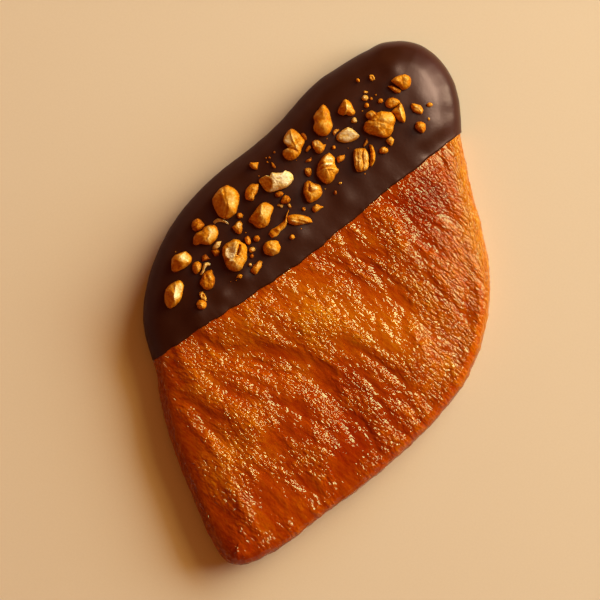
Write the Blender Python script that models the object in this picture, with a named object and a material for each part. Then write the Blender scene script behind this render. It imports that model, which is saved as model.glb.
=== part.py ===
"""A flat croissant: a croissant pressed flat and glazed, one flank dipped in dark chocolate, with roasted nut pieces
set in the chocolate. Metres, +Z up. The long axis is Y with the round nose at +Y and the narrow tip at -Y; the origin is
under the middle of the croissant, on the surface that it lies on.

The pastry is one solid. The chocolate is a thin shell that wraps the dipped flank over the top, round the rim and
underneath. Each nut piece of about 4 mm or more is a solid of its own. All of them are worked out from one description of
the pressed shape, body(), which can be grown: by nothing for the pastry, by GAP for the inside of the shell, by coat() for
its outside, and by coat() + GAP for what the nut pieces stand clear of."""

import math

import bmesh
import bpy
import numpy as np
from mathutils import Matrix, Vector

for old in list(bpy.data.objects):
    bpy.data.objects.remove(old, do_unlink=True)

MM = 0.001

# ---- driving sizes, in millimetres ----
# Plan outline: at each level along the length, where the left and the right side stand, as (y, left, right). A smooth
# closed curve runs down the left sides, round the tip, up the right sides and round the nose.
SIDES = [
    (90, -8.0, 14.2),
    (80, -17.6, 23.1),
    (70, -25.0, 27.5),
    (50, -34.0, 39.0),  # waist of the dipped flank
    (30, -46.6, 51.2),
    (10, -55.1, 56.9),
    (-10, -57.2, 55.9),  # left shoulder
    (-30, -51.9, 48.5),
    (-40, -44.8, 43.2),
    (-50, -39.2, 37.5),
    (-70, -24.7, 23.8),
    (-85, -11.2, 13.6),
]
NOSE_END, TIP_END = (3.5, 93.9), (1.0, -93.7)
OUTLINE = [(left, y) for y, left, _ in SIDES] + [TIP_END] + [(right, y) for y, _, right in reversed(SIDES)] + [NOSE_END]
# Places on the outline where the four sides of the top's grid meet: nose, left shoulder, tip, right bulge.
CORNERS = [NOSE_END, (-57.0, -8.0), TIP_END, (57.0, 0.0)]

RIM_HEIGHT = 10.6  # top of the rounded rim above the table
DOME = 1.9  # how much the middle stands above the rim
DOME_REACH = 9.0  # how far in from the rim the rise takes
# The rounded side, from the flat underside to the top: (inset from the outline, share of the rim's height).
RIM = [(3.6, 0.0), (1.5, 0.07), (0.35, 0.22), (0.0, 0.42), (0.5, 0.62), (2.1, 0.81), (4.6, 0.93), (7.5, 1.0)]

GAP = 0.3  # clearance between one solid and the next
COAT = 1.1  # outside of the chocolate above the pastry, clearance included
COAT_EDGE = 0.75  # the same at the chocolate's edge, where it has run thin
THINS_OVER = 6.0  # length over which it thins
DIP_START, DIP_END = (-46.0, -36.5), (27.5, 71.0)  # ends of the chocolate's edge, on the rim
DIP_BOW = [0.0, 0.6, 1.5, 2.3, 2.8, 3.1, 2.3, 1.3, 1.0, 0.5, 0.0]  # how far the edge sags towards the pastry, at equal steps between them
TAPER_IN = 8.0  # length over which the pastry narrows and lifts before it enters the chocolate

# Pressed-in folds of the rolled dough: (points along the fold, height, half width). Negative heights are valleys.
FOLDS = [
    ([(-34, -19), (-16, -12.5), (-4, -7), (11, -5), (24, -5), (39, -8), (53, -15)], 0.8, 7.0),
    ([(-35, -27.5), (-19.5, -25), (-5, -25), (9.5, -25.5), (22, -31), (32, -38)], -0.9, 5.0),
    ([(-1, 14), (14, 14.5), (29, 11), (42, 6)], -0.5, 7.0),
    ([(-41, -32), (-33, -38), (-22, -43), (-8, -47)], 0.5, 5.0),
    ([(-42, -42), (-33, -48), (-24, -52), (-10, -56)], -0.5, 4.0),
    ([(-20, -60), (-14, -65), (0, -75), (9, -84)], 0.5, 4.5),
    ([(10, 34), (22, 28), (36, 22), (50, 18)], 0.4, 6.0),
    ([(12, -44), (22, -50), (30, -54)], 0.5, 5.0),
    ([(-30, 36), (-20, 22), (-26, 4)], 0.4, 9.0),
]

# Nut pieces: name, place (x, y), length, width, height, turn of the long side from +X in degrees,
# taper (0 even, 1 pointed at the far end), notch (depth of a bite in its side), seed of its lumps.
NUTS = [
    ("nut_01", -40.6, 21.9, 11.4, 9.6, 6.2, 99, 0.15, 0.0, 1),
    ("nut_02", -43.3, 8.9, 9.0, 6.0, 4.6, 47, 0.2, 0.15, 2),
    ("nut_03", -48.0, 12.9, 4.8, 4.2, 3.2, 100, 0.0, 0.0, 3),
    ("nut_04", -31.9, 5.4, 11.0, 9.2, 5.6, 119, 0.1, 0.12, 4),
    ("nut_05", -48.3, -2.2, 7.8, 6.5, 4.8, 54, 0.2, 0.0, 5),
    ("nut_06", -47.3, -13.5, 9.6, 6.6, 5.0, 94, 0.3, 0.0, 6),
    ("nut_07", -37.9, -6.0, 6.4, 5.2, 4.0, 99, 0.1, 0.1, 7),
    ("nut_08", -27.7, 21.5, 9.6, 7.0, 5.2, 67, 0.25, 0.0, 8),
    ("nut_09", -33.5, 28.2, 6.6, 4.8, 3.6, 79, 0.1, 0.15, 9),
    ("nut_10", -25.8, 34.2, 11.6, 7.0, 4.6, 34, 0.25, 0.1, 10),
    ("nut_11", -25.5, 47.3, 10.8, 6.6, 4.4, 104, 0.0, 0.35, 11),
    ("nut_12", -18.8, 58.6, 10.8, 6.4, 5.0, 114, 0.35, 0.12, 12),
    ("nut_13", -12.4, 65.3, 6.0, 5.6, 4.0, 120, 0.4, 0.1, 13),
    ("nut_14", -9.0, 56.4, 8.2, 5.0, 3.0, 24, 0.3, 0.0, 14),
    ("nut_15", -11.4, 43.6, 10.6, 7.2, 5.4, 94, 0.1, 0.1, 15),
    ("nut_16", -17.5, 50.9, 4.8, 3.9, 3.2, 144, 0.2, 0.0, 16),
    ("nut_17", -14.4, 34.5, 7.2, 6.6, 4.8, 79, 0.0, 0.08, 17),
    ("nut_18", -2.3, 50.2, 8.2, 4.4, 3.8, 119, 0.0, 0.1, 18),
    ("nut_19", 1.9, 51.9, 7.2, 2.9, 3.2, 115, 0.2, 0.0, 19),
    ("nut_20", -0.2, 63.0, 10.6, 9.0, 5.6, 39, 0.0, 0.12, 20),
    ("nut_21", 6.6, 69.6, 8.6, 3.8, 3.2, 145, 0.1, 0.15, 21),
    ("nut_22", 2.5, 79.4, 7.6, 5.6, 4.2, 49, 0.25, 0.2, 22),
    ("nut_23", 10.2, 72.8, 4.8, 3.6, 2.4, 170, 0.1, 0.0, 23),
    ("nut_24", -14.3, 24.4, 9.0, 3.8, 3.0, 14, 0.35, 0.0, 24),
    ("nut_25", -21.9, 18.4, 8.0, 2.9, 3.0, 69, 0.3, 0.0, 25),
    ("nut_26", -20.8, 11.9, 6.2, 5.8, 4.4, 169, 0.15, 0.0, 26),
    ("nut_27", -23.6, 4.4, 5.4, 3.0, 2.6, 79, 0.1, 0.0, 27),
]
NUT_SUNK = 0.7  # how far a nut piece reaches into the chocolate's surface before it is cut clear of it

LONG_STEPS, SHORT_STEPS = 30, 20  # grid of the top, nose to shoulder and shoulder to tip


# ---- curves and fields ----
def closed_curve(stations, count):
    """Points of the smooth closed cubic curve through the stations."""
    p = np.array(stations, float)
    n = len(p)
    step = np.linalg.norm(np.roll(p, -1, 0) - p, axis=1)
    a, b = np.zeros((n, n)), np.zeros((n, 2))
    for i in range(n):
        before, after, j = step[i - 1], step[i], (i + 1) % n
        a[i, i - 1] += before
        a[i, i] += 2 * (before + after)
        a[i, j] += after
        b[i] = 6 * ((p[j] - p[i]) / after - (p[i] - p[i - 1]) / before)
    m = np.linalg.solve(a, b)
    ends = np.concatenate([[0], np.cumsum(step)])
    t = np.linspace(0, ends[-1], count, endpoint=False)
    k = np.clip(np.searchsorted(ends, t, side="right") - 1, 0, n - 1)
    u, h, k1 = (t - ends[k])[:, None], step[k][:, None], (k + 1) % n
    return (
        m[k] * (h - u) ** 3 / (6 * h)
        + m[k1] * u**3 / (6 * h)
        + (p[k] / h - m[k] * h / 6) * (h - u)
        + (p[k1] / h - m[k1] * h / 6) * u
    )


def smooth(x):
    x = np.clip(x, 0, 1)
    return x * x * (3 - 2 * x)


EDGE = closed_curve(OUTLINE, 720)
TANGENT = np.roll(EDGE, -1, 0) - np.roll(EDGE, 1, 0)
OUTWARD = np.stack([TANGENT[:, 1], -TANGENT[:, 0]], 1) / np.linalg.norm(TANGENT, axis=1)[:, None]


def into_dip(xy):
    """Distance past the chocolate's edge, positive under the chocolate."""
    start, end = np.array(DIP_START), np.array(DIP_END)
    long = np.linalg.norm(end - start)
    along = (end - start) / long
    across = np.array([-along[1], along[0]])
    s, d = (xy - start) @ along, (xy - start) @ across
    bow = np.interp(s, np.linspace(0, long, len(DIP_BOW)), DIP_BOW)
    return d + bow


def from_rim(xy):
    """A smooth distance in from the outline: the true one near the rim, with no crease along the middle."""
    step = np.linalg.norm(np.roll(EDGE, -1, 0) - EDGE, axis=1)
    total = np.zeros(len(xy))
    for point, length in zip(EDGE, step):
        total += length / (((xy - point) ** 2).sum(1) + 0.04) ** 3
    return (total / 1.1781) ** -0.2


def folds(xy):
    """Height of the pressed-in folds."""
    height = np.zeros(len(xy))
    for line, high, wide in FOLDS:
        nearest = np.full(len(xy), 1e9)
        for p, q in zip(np.array(line, float)[:-1], np.array(line, float)[1:]):
            t = np.clip(((xy - p) @ (q - p)) / ((q - p) @ (q - p)), 0, 1)
            nearest = np.minimum(nearest, np.linalg.norm(xy - p - t[:, None] * (q - p), axis=1))
        height += high * np.exp(-((nearest / wide) ** 2))
    return height


def coat(xy):
    """How far the outside of the chocolate stands from the pastry."""
    return COAT_EDGE + (COAT - COAT_EDGE) * smooth(into_dip(xy) / THINS_OVER)


def made_room(xy, start, reach):
    """How far the pastry draws back so that the chocolate round it keeps to the outline and to the table."""
    d = into_dip(xy)
    return COAT_EDGE * smooth((d - start) / reach) + (COAT - COAT_EDGE) * smooth(d / THINS_OVER)


def top(xy, grow):
    """Height of the upper surface, grown by so much."""
    deep = from_rim(xy)
    rise = DOME * (1 - np.exp(-np.maximum(deep - RIM[-1][0], 0) / DOME_REACH))
    return RIM_HEIGHT + rise + folds(xy) * smooth((deep - 3) / 10) + grow(xy)


def base(xy, grow):
    """Height of the underside: on the table where the pastry is bare, lifted by the coat where it is dipped."""
    return made_room(xy, -TAPER_IN - 2, TAPER_IN + 1) - grow(xy)


def ring(inset, grow):
    """The outline's points and the way out at each, split evenly along the four sides of the grid."""
    marks = sorted(int(np.argmin(((EDGE - np.array(c)) ** 2).sum(1))) for c in CORNERS)
    counts, picked = [LONG_STEPS, SHORT_STEPS, LONG_STEPS, SHORT_STEPS], []
    nose = int(np.argmin(((EDGE - np.array(CORNERS[0])) ** 2).sum(1)))
    marks = marks[marks.index(nose) :] + marks[: marks.index(nose)]
    for i, count in enumerate(counts):
        first, last = marks[i], marks[(i + 1) % 4]
        if last <= first:
            last += len(EDGE)
        picked += list(np.linspace(first, last, count, endpoint=False))
    at = np.array(picked)
    low, share = np.floor(at).astype(int) % len(EDGE), (at % 1)[:, None]
    high = (low + 1) % len(EDGE)
    xy = EDGE[low] * (1 - share) + EDGE[high] * share
    out = OUTWARD[low] * (1 - share) + OUTWARD[high] * share
    return xy + out * (grow(xy) - made_room(xy, -TAPER_IN, TAPER_IN) - inset)[:, None]


def patch(edge):
    """A grid of points inside a closed ring that has the counts of ring(): the four sides blended across."""
    n, m = LONG_STEPS, SHORT_STEPS
    a = edge[0 : n + 1]  # nose to shoulder
    right = edge[n : n + m + 1]  # shoulder to tip
    b = edge[n + m : 2 * n + m + 1][::-1]  # bulge to tip, turned to run with a
    left = np.concatenate([edge[2 * n + m :], edge[:1]])[::-1]  # nose to bulge
    u, v = np.linspace(0, 1, n + 1)[:, None, None], np.linspace(0, 1, m + 1)[None, :, None]
    across = (1 - v) * a[:, None] + v * b[:, None]
    along = (1 - u) * left[None] + u * right[None]
    corners = (
        (1 - u) * (1 - v) * a[0] + u * (1 - v) * a[-1] + (1 - u) * v * b[0] + u * v * b[-1]
    )
    return across + along - corners


def body(name, grow=lambda xy: 0.0 * xy[:, 0]):
    """The pressed shape as one closed mesh, grown by grow(xy) millimetres on every side."""
    n, m, bm = LONG_STEPS, SHORT_STEPS, bmesh.new()

    def rim_ring(inset, share):
        xy = ring(inset, grow)
        low, high = base(xy, grow), RIM_HEIGHT + grow(xy)
        return xy, low + (high - low) * share

    def add(xy, z):
        return [bm.verts.new((x * MM, y * MM, h * MM)) for (x, y), h in zip(xy, z)]

    def cap(loop, xy_ring, height, turn):
        """Closes a ring of vertices with a grid."""
        inside = patch(xy_ring)
        count = n + m
        grid = [[None] * (m + 1) for _ in range(n + 1)]
        for i in range(n + 1):
            grid[i][0] = loop[i]
            grid[i][m] = loop[(2 * count - m - i) % (2 * count)]
        for j in range(m + 1):
            grid[n][j] = loop[n + j]
            grid[0][j] = loop[(2 * count - j) % (2 * count)]
        flat = inside[1:-1, 1:-1].reshape(-1, 2)
        made = iter(add(flat, height(flat)))
        for i in range(1, n):
            for j in range(1, m):
                grid[i][j] = next(made)
        for i in range(n):
            for j in range(m):
                face = [grid[i][j], grid[i + 1][j], grid[i + 1][j + 1], grid[i][j + 1]]
                bm.faces.new(face[::-1] if turn else face)

    rings = []
    for inset, share in RIM:
        xy, z = rim_ring(inset, share)
        rings.append((xy, add(xy, z)))
    for (_, lower), (_, upper) in zip(rings, rings[1:]):
        for i in range(len(lower)):
            j = (i + 1) % len(lower)
            bm.faces.new([lower[i], lower[j], upper[j], upper[i]])
    cap(rings[-1][1], rings[-1][0], lambda xy: top(xy, grow), False)
    cap(rings[0][1], rings[0][0], lambda xy: base(xy, grow), True)
    bmesh.ops.dissolve_limit(bm, angle_limit=1e-5, verts=bm.verts[:], edges=bm.edges[:])
    bmesh.ops.triangulate(bm, faces=[f for f in bm.faces if len(f.verts) > 4])
    bmesh.ops.recalc_face_normals(bm, faces=bm.faces[:])
    return finish(name, bm)


# ---- objects ----
def finish(name, bm):
    mesh = bpy.data.meshes.new(name)
    bm.to_mesh(mesh)
    bm.free()
    obj = bpy.data.objects.new(name, mesh)
    bpy.context.scene.collection.objects.link(obj)
    return obj


def guide(obj):
    """A shape that only cuts others."""
    obj.hide_render = True
    obj.display_type = "WIRE"
    return obj


def cut(obj, by, operation="DIFFERENCE"):
    modifier = obj.modifiers.new(operation.title(), "BOOLEAN")
    modifier.operation = operation
    modifier.object = by
    modifier.solver = "EXACT"


def finish_of(name, colour, roughness, coat=0.0):
    material = bpy.data.materials.new(name)
    material.use_nodes = True
    shader = material.node_tree.nodes["Principled BSDF"]
    shader.inputs["Base Color"].default_value = (*colour, 1.0)
    shader.inputs["Roughness"].default_value = roughness
    shader.inputs["Metallic"].default_value = 0.0
    shader.inputs["Coat Weight"].default_value = coat
    return material


def dipped_side(name):
    """A tall block over the dipped flank, with the chocolate's edge as its near side."""
    start, end = np.array(DIP_START), np.array(DIP_END)
    long = np.linalg.norm(end - start)
    along = (end - start) / long
    across = np.array([-along[1], along[0]])
    line = [start - along * 40]
    for s in np.linspace(0, long, 4 * (len(DIP_BOW) - 1) + 1):
        bow = np.interp(s, np.linspace(0, long, len(DIP_BOW)), DIP_BOW)
        line.append(start + along * s - across * bow)
    line.append(end + along * 40)
    line += [end + along * 40 + across * 90, start - along * 40 + across * 90]
    bm = bmesh.new()
    floor = bm.faces.new([bm.verts.new((x * MM, y * MM, -5 * MM)) for x, y in line])
    raised = bmesh.ops.extrude_face_region(bm, geom=[floor])["geom"]
    bmesh.ops.translate(bm, vec=(0, 0, 40 * MM), verts=[g for g in raised if isinstance(g, bmesh.types.BMVert)])
    bmesh.ops.recalc_face_normals(bm, faces=bm.faces[:])
    return guide(finish(name, bm))


def nut(name, x, y, length, width, height, turn, taper, notch, seed):
    """A broken piece of nut: a stack of lumpy rings, tapered, bitten and with a slanting top."""
    rng = np.random.default_rng(seed)
    count = 12
    angle = np.linspace(0, 2 * math.pi, count, endpoint=False)
    radius = np.ones(count)
    for k in (2, 3, 4, 5):
        radius += 0.22 / k * rng.uniform(-1, 1) * np.cos(k * angle + rng.uniform(0, 2 * math.pi))
    bite = rng.uniform(0.35, 0.65) * math.pi
    radius -= notch * np.exp(-((np.angle(np.exp(1j * (angle - bite))) / 0.45) ** 2))
    plan = np.stack([np.cos(angle), np.sin(angle)], 1) * radius[:, None]
    plan[:, 1] *= 1 - taper * np.clip(plan[:, 0], 0, 1)
    plan = (plan - (plan.max(0) + plan.min(0)) / 2) / np.ptp(plan, axis=0) * (length, width)
    lean = rng.uniform(-0.3, 0.3, 2)
    bm, rings = bmesh.new(), []
    for share, scale in ((0.0, 0.86), (0.28, 1.0), (0.58, 0.94), (0.82, 0.72), (1.0, 0.36)):
        wobble = 1 + rng.uniform(-0.05, 0.05, count)
        points = plan * scale * wobble[:, None]
        z = height * share + (points @ lean) * share
        rings.append([bm.verts.new((p[0] * MM, p[1] * MM, h * MM)) for p, h in zip(points, z)])
    for lower, upper in zip(rings, rings[1:]):
        for i in range(count):
            j = (i + 1) % count
            bm.faces.new([lower[i], lower[j], upper[j], upper[i]])
    bm.faces.new(rings[0][::-1])
    bm.faces.new(rings[-1])
    bmesh.ops.triangulate(bm, faces=[f for f in bm.faces if len(f.verts) > 4])
    obj = finish(name, bm)
    spot = np.array([[x, y]])
    low = float(top(spot, coat)[0]) - NUT_SUNK
    turned = Matrix.Translation(Vector((x, y, low)) * MM) @ Matrix.Rotation(math.radians(turn), 4, "Z")
    obj.data.transform(turned)
    return obj


croissant = bpy.data.objects.new("croissant", None)
bpy.context.scene.collection.objects.link(croissant)

CRUST = finish_of("glazed_crust", (0.42, 0.10, 0.012), 0.32, 0.5)
CHOCOLATE = finish_of("dark_chocolate", (0.045, 0.014, 0.007), 0.38)
KERNEL = finish_of("roasted_nut", (0.62, 0.27, 0.05), 0.5)

pastry = body("pastry")
pastry.data.materials.append(CRUST)

shell_inside = guide(body("shell_inside", lambda xy: GAP + 0.0 * xy[:, 0]))
nut_clearance = guide(body("nut_clearance", lambda xy: coat(xy) + GAP))
dip = dipped_side("dip")

chocolate = body("chocolate", coat)
chocolate.data.materials.append(CHOCOLATE)
cut(chocolate, dip, "INTERSECT")
cut(chocolate, shell_inside)

pieces = [pastry, chocolate]
for row in NUTS:
    piece = nut(*row)
    piece.data.materials.append(KERNEL)
    cut(piece, nut_clearance)
    pieces.append(piece)

for piece in pieces:
    piece.data.shade_smooth()
    piece.data.set_sharp_from_angle(angle=math.radians(38))
    piece.parent = croissant
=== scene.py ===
"""Looks of the flat croissant: glazed, wrinkled crust, dark chocolate on one flank, roasted nut pieces and crumbs.

Lengths are in millimetres until a mesh is made. The crust, the coat and the toppings are worked out from one pressed
shape, the same one that the CAD solids have, with finer relief on it."""

import math

import bmesh
import bpy
import numpy as np
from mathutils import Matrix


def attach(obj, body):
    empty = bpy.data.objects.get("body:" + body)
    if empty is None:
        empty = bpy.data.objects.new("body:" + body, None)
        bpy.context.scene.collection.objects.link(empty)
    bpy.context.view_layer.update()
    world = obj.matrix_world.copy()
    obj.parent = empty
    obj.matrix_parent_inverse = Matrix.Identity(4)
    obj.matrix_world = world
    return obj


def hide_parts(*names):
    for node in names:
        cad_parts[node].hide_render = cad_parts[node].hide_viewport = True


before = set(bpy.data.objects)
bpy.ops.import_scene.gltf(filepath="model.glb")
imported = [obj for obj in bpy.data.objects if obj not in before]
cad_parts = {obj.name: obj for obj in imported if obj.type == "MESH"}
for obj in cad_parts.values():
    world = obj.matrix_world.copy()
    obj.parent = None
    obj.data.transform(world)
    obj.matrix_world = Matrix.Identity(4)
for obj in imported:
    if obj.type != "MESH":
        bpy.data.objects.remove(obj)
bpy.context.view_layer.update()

MM = 0.001

# ---------------------------------------------------------------- where things lie
PX = 0.34  # millimetres to a unit of the layout below, whose y runs down
TURN = math.radians(19.0)  # the layout is turned against the croissant
CENTRE = (318.07, 301.80)  # the layout's place over the origin


def row(px, py):
    x, y = (px - CENTRE[0]) * PX, -(py - CENTRE[1]) * PX
    return x * math.cos(TURN) - y * math.sin(TURN), x * math.sin(TURN) + y * math.cos(TURN)


def rows(points):
    return np.array([row(*p) for p in points], float)


def direction(degrees):
    """The way that lies at this angle in the layout, anticlockwise from right."""
    a = TURN + math.radians(degrees)
    return np.array([math.cos(a), math.sin(a)])


# ---------------------------------------------------------------- the pressed shape
# Plan outline: at each level along the length, where the left and the right side stand, as (y, left, right). A smooth
# closed curve runs down the left sides, round the tip, up the right sides and round the nose.
SIDES = [
    (90, -8.0, 14.2),
    (80, -17.6, 23.1),
    (70, -25.0, 27.5),
    (50, -34.0, 39.0),
    (30, -46.6, 51.2),
    (10, -55.1, 56.9),
    (-10, -57.2, 55.9),
    (-30, -51.9, 48.5),
    (-40, -44.8, 43.2),
    (-50, -39.2, 37.5),
    (-70, -24.7, 23.8),
    (-85, -11.2, 13.6),
]
NOSE_END, TIP_END = (3.5, 93.9), (1.0, -93.7)
OUTLINE = [(left, y) for y, left, _ in SIDES] + [TIP_END] + [(right, y) for y, _, right in reversed(SIDES)] + [NOSE_END]
NOSE, SHOULDER, TIP, BULGE = NOSE_END, (-57.0, -8.0), TIP_END, (57.0, 0.0)
RIM_HEIGHT = 10.6
DOME, DOME_REACH = 1.9, 9.0
RIM = [(3.6, 0.0), (1.5, 0.07), (0.35, 0.22), (0.0, 0.42), (0.5, 0.62), (2.1, 0.81), (4.6, 0.93), (7.5, 1.0)]

COAT, COAT_EDGE, THINS_OVER = 0.85, 0.5, 7.0  # chocolate above the crust, inside and at its edge
DIP_START, DIP_END = (-46.0, -36.5), (27.5, 71.0)
DIP_BOW = [0.0, 0.6, 1.5, 2.3, 2.8, 3.1, 2.3, 1.3, 1.0, 0.5, 0.0]
TAPER_IN = 8.0

# Broad folds pressed into the dough: (points along the fold, height, half width).
FOLDS = [
    ([(-34, -19), (-16, -12.5), (-4, -7), (11, -5), (24, -5), (39, -8), (53, -15)], 0.8, 7.0),
    ([(-35, -27.5), (-19.5, -25), (-5, -25), (9.5, -25.5), (22, -31), (32, -38)], -0.9, 5.0),
    ([(-1, 14), (14, 14.5), (29, 11), (42, 6)], -0.5, 7.0),
    ([(-41, -32), (-33, -38), (-22, -43), (-8, -47)], 0.5, 5.0),
    ([(-42, -42), (-33, -48), (-24, -52), (-10, -56)], -0.5, 4.0),
    ([(-20, -60), (-14, -65), (0, -75), (9, -84)], 0.5, 4.5),
    ([(10, 34), (22, 28), (36, 22), (50, 18)], 0.4, 6.0),
    ([(12, -44), (22, -50), (30, -54)], 0.5, 5.0),
    ([(-30, 36), (-20, 22), (-26, 4)], 0.4, 9.0),
]

# Which way the grain of the wrinkles runs: (x, y, degrees) of the layout.
GRAIN = [
    (435, 165, -48),
    (405, 215, -44),
    (460, 235, -44),
    (350, 245, -32),
    (390, 275, -33),
    (445, 290, -38),
    (465, 340, -44),
    (300, 290, -24),
    (345, 315, -31),
    (400, 330, -38),
    (250, 325, -22),
    (300, 350, -28),
    (215, 345, -31),
    (360, 375, -32),
    (410, 390, -45),
    (440, 380, -50),
    (210, 385, -42),
    (260, 385, -34),
    (310, 400, -38),
    (360, 420, -46),
    (220, 440, -47),
    (270, 440, -41),
    (320, 450, -48),
    (370, 455, -50),
    (220, 500, -50),
    (270, 495, -42),
    (310, 500, -47),
    (240, 540, -54),
]

# Single folds and valleys: (layout points, height in mm, half width in mm).
CREASES = [
    ([(255, 345), (290, 354), (312, 363), (335, 376), (356, 392)], -0.6, 2.0),
    ([(183, 398), (200, 409), (222, 421)], -0.5, 2.0),
    ([(205, 374), (238, 397), (268, 404), (300, 410), (330, 434)], -0.5, 2.2),
    ([(268, 458), (300, 480), (318, 496)], -0.4, 2.0),
    ([(192, 468), (208, 496), (226, 522)], -0.4, 2.4),
    ([(396, 398), (412, 413), (424, 424)], -0.5, 2.0),
    ([(420, 392), (440, 412)], -0.5, 1.8),
    ([(342, 420), (360, 438), (374, 452)], -0.4, 1.8),
    ([(350, 345), (385, 366), (402, 384)], -0.35, 1.8),
    ([(330, 262), (372, 290), (405, 305)], -0.35, 2.2),
    ([(385, 200), (412, 232), (436, 252)], -0.35, 2.2),
    ([(455, 300), (474, 324)], -0.35, 1.8),
    ([(178, 350), (188, 372), (197, 393)], 0.5, 1.8),
    ([(184, 412), (200, 432), (213, 447), (226, 458)], 0.45, 1.8),
    ([(335, 374), (345, 394), (357, 413)], 0.4, 1.8),
    ([(228, 486), (244, 510), (262, 531)], 0.5, 1.8),
    ([(250, 470), (275, 489), (300, 511)], 0.4, 1.8),
    ([(318, 438), (330, 459)], 0.4, 1.8),
    ([(410, 330), (425, 351), (441, 376)], 0.4, 1.6),
    ([(378, 384), (398, 404), (410, 418)], 0.4, 1.6),
    ([(390, 212), (403, 247)], 0.4, 1.6),
    ([(364, 207), (382, 223)], 0.35, 1.8),
    ([(344, 224), (360, 234)], 0.35, 1.8),
    ([(322, 246), (340, 254)], 0.35, 1.8),
    ([(236, 306), (252, 315)], 0.35, 1.8),
    ([(262, 300), (282, 314)], 0.35, 1.8),
    ([(262, 278), (302, 293)], 0.35, 2.0),
    ([(200, 328), (226, 345)], 0.35, 1.8),
    ([(440, 180), (456, 214)], 0.35, 1.6),
    ([(270, 405), (292, 415), (296, 432), (284, 440)], 0.35, 1.8),
]

# Where the glaze is more (+) or less (-) finely wrinkled: (layout x, y, radius, how much).
LIVELY = [
    (190, 372, 18, 0.6),
    (212, 398, 24, 0.7),
    (250, 425, 26, 0.2),
    (228, 455, 18, 0.3),
    (235, 500, 24, 0.25),
    (280, 440, 22, 0.2),
    (440, 188, 30, 0.4),
    (460, 250, 32, 0.75),
    (455, 310, 34, 0.45),
    (425, 350, 26, 0.35),
    (430, 390, 22, 1.1),
    (400, 250, 26, 0.3),
    (345, 395, 20, 0.15),
    (385, 435, 20, 0.25),
    (345, 318, 20, 0.2),
    (250, 342, 26, 0.0),
    (300, 352, 26, 0.35),
    (300, 300, 24, -0.2),
    (316, 420, 24, 0.3),
    (350, 450, 22, -0.7),
    (262, 502, 20, -0.5),
    (190, 450, 20, -0.1),
    (216, 482, 24, 1.0),
    (240, 543, 24, 0.25),
    (300, 508, 24, -0.3),
    (270, 465, 16, -0.2),
    (400, 340, 24, -0.6),
    (350, 310, 22, -0.25),
]


def smooth(x):
    x = np.clip(x, 0, 1)
    return x * x * (3 - 2 * x)


def closed_curve(stations, count):
    """Points of the smooth closed cubic curve through the stations."""
    p = np.array(stations, float)
    n = len(p)
    step = np.linalg.norm(np.roll(p, -1, 0) - p, axis=1)
    a, b = np.zeros((n, n)), np.zeros((n, 2))
    for i in range(n):
        before, after, j = step[i - 1], step[i], (i + 1) % n
        a[i, i - 1] += before
        a[i, i] += 2 * (before + after)
        a[i, j] += after
        b[i] = 6 * ((p[j] - p[i]) / after - (p[i] - p[i - 1]) / before)
    m = np.linalg.solve(a, b)
    ends = np.concatenate([[0], np.cumsum(step)])
    t = np.linspace(0, ends[-1], count, endpoint=False)
    k = np.clip(np.searchsorted(ends, t, side="right") - 1, 0, n - 1)
    u, h, k1 = (t - ends[k])[:, None], step[k][:, None], (k + 1) % n
    return (
        m[k] * (h - u) ** 3 / (6 * h)
        + m[k1] * u**3 / (6 * h)
        + (p[k] / h - m[k] * h / 6) * (h - u)
        + (p[k1] / h - m[k1] * h / 6) * u
    )


def open_curve(stations, count):
    """Points of a smooth curve through the stations, even along its chord."""
    p = np.array(stations, float)
    t = np.concatenate([[0], np.cumsum(np.linalg.norm(np.diff(p, axis=0), axis=1))])
    d = np.gradient(p, t, axis=0)
    x = np.linspace(0, t[-1], count)
    k = np.clip(np.searchsorted(t, x, side="right") - 1, 0, len(p) - 2)
    h = (t[k + 1] - t[k])[:, None]
    s = (x - t[k])[:, None] / h
    return (
        (2 * s**3 - 3 * s**2 + 1) * p[k]
        + (s**3 - 2 * s**2 + s) * h * d[k]
        + (-2 * s**3 + 3 * s**2) * p[k + 1]
        + (s**3 - s**2) * h * d[k + 1]
    )


EDGE = closed_curve(OUTLINE, 1440)
_step = np.linalg.norm(np.roll(EDGE, -1, 0) - EDGE, axis=1)
ARC = np.concatenate([[0], np.cumsum(_step)])
AROUND = ARC[-1]
_tangent = np.roll(EDGE, -1, 0) - np.roll(EDGE, 1, 0)
OUTWARD = np.stack([_tangent[:, 1], -_tangent[:, 0]], 1) / np.linalg.norm(_tangent, axis=1)[:, None]
TANGENT = _tangent / np.linalg.norm(_tangent, axis=1)[:, None]


def at(s):
    """Outline point and outward direction at arc length s."""
    s = np.mod(s, AROUND)
    closed, outs = np.vstack([EDGE, EDGE[:1]]), np.vstack([OUTWARD, OUTWARD[:1]])
    xy = np.stack([np.interp(s, ARC, closed[:, i]) for i in (0, 1)], 1)
    out = np.stack([np.interp(s, ARC, outs[:, i]) for i in (0, 1)], 1)
    return xy, out


def arc_of(point):
    return float(ARC[int(np.argmin(((EDGE - np.array(point)) ** 2).sum(1)))])


def nearest_edge(xy):
    """(arc length, distance in from the outline) of each point."""
    s, d = np.zeros(len(xy)), np.zeros(len(xy))
    for i in range(0, len(xy), 4000):
        p = xy[i : i + 4000]
        gap = ((p[:, None] - EDGE[None]) ** 2).sum(2)
        k = gap.argmin(1)
        off = p - EDGE[k]
        s[i : i + 4000] = ARC[k] + (off * TANGENT[k]).sum(1)
        d[i : i + 4000] = -(off * OUTWARD[k]).sum(1)
    return s, d


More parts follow.
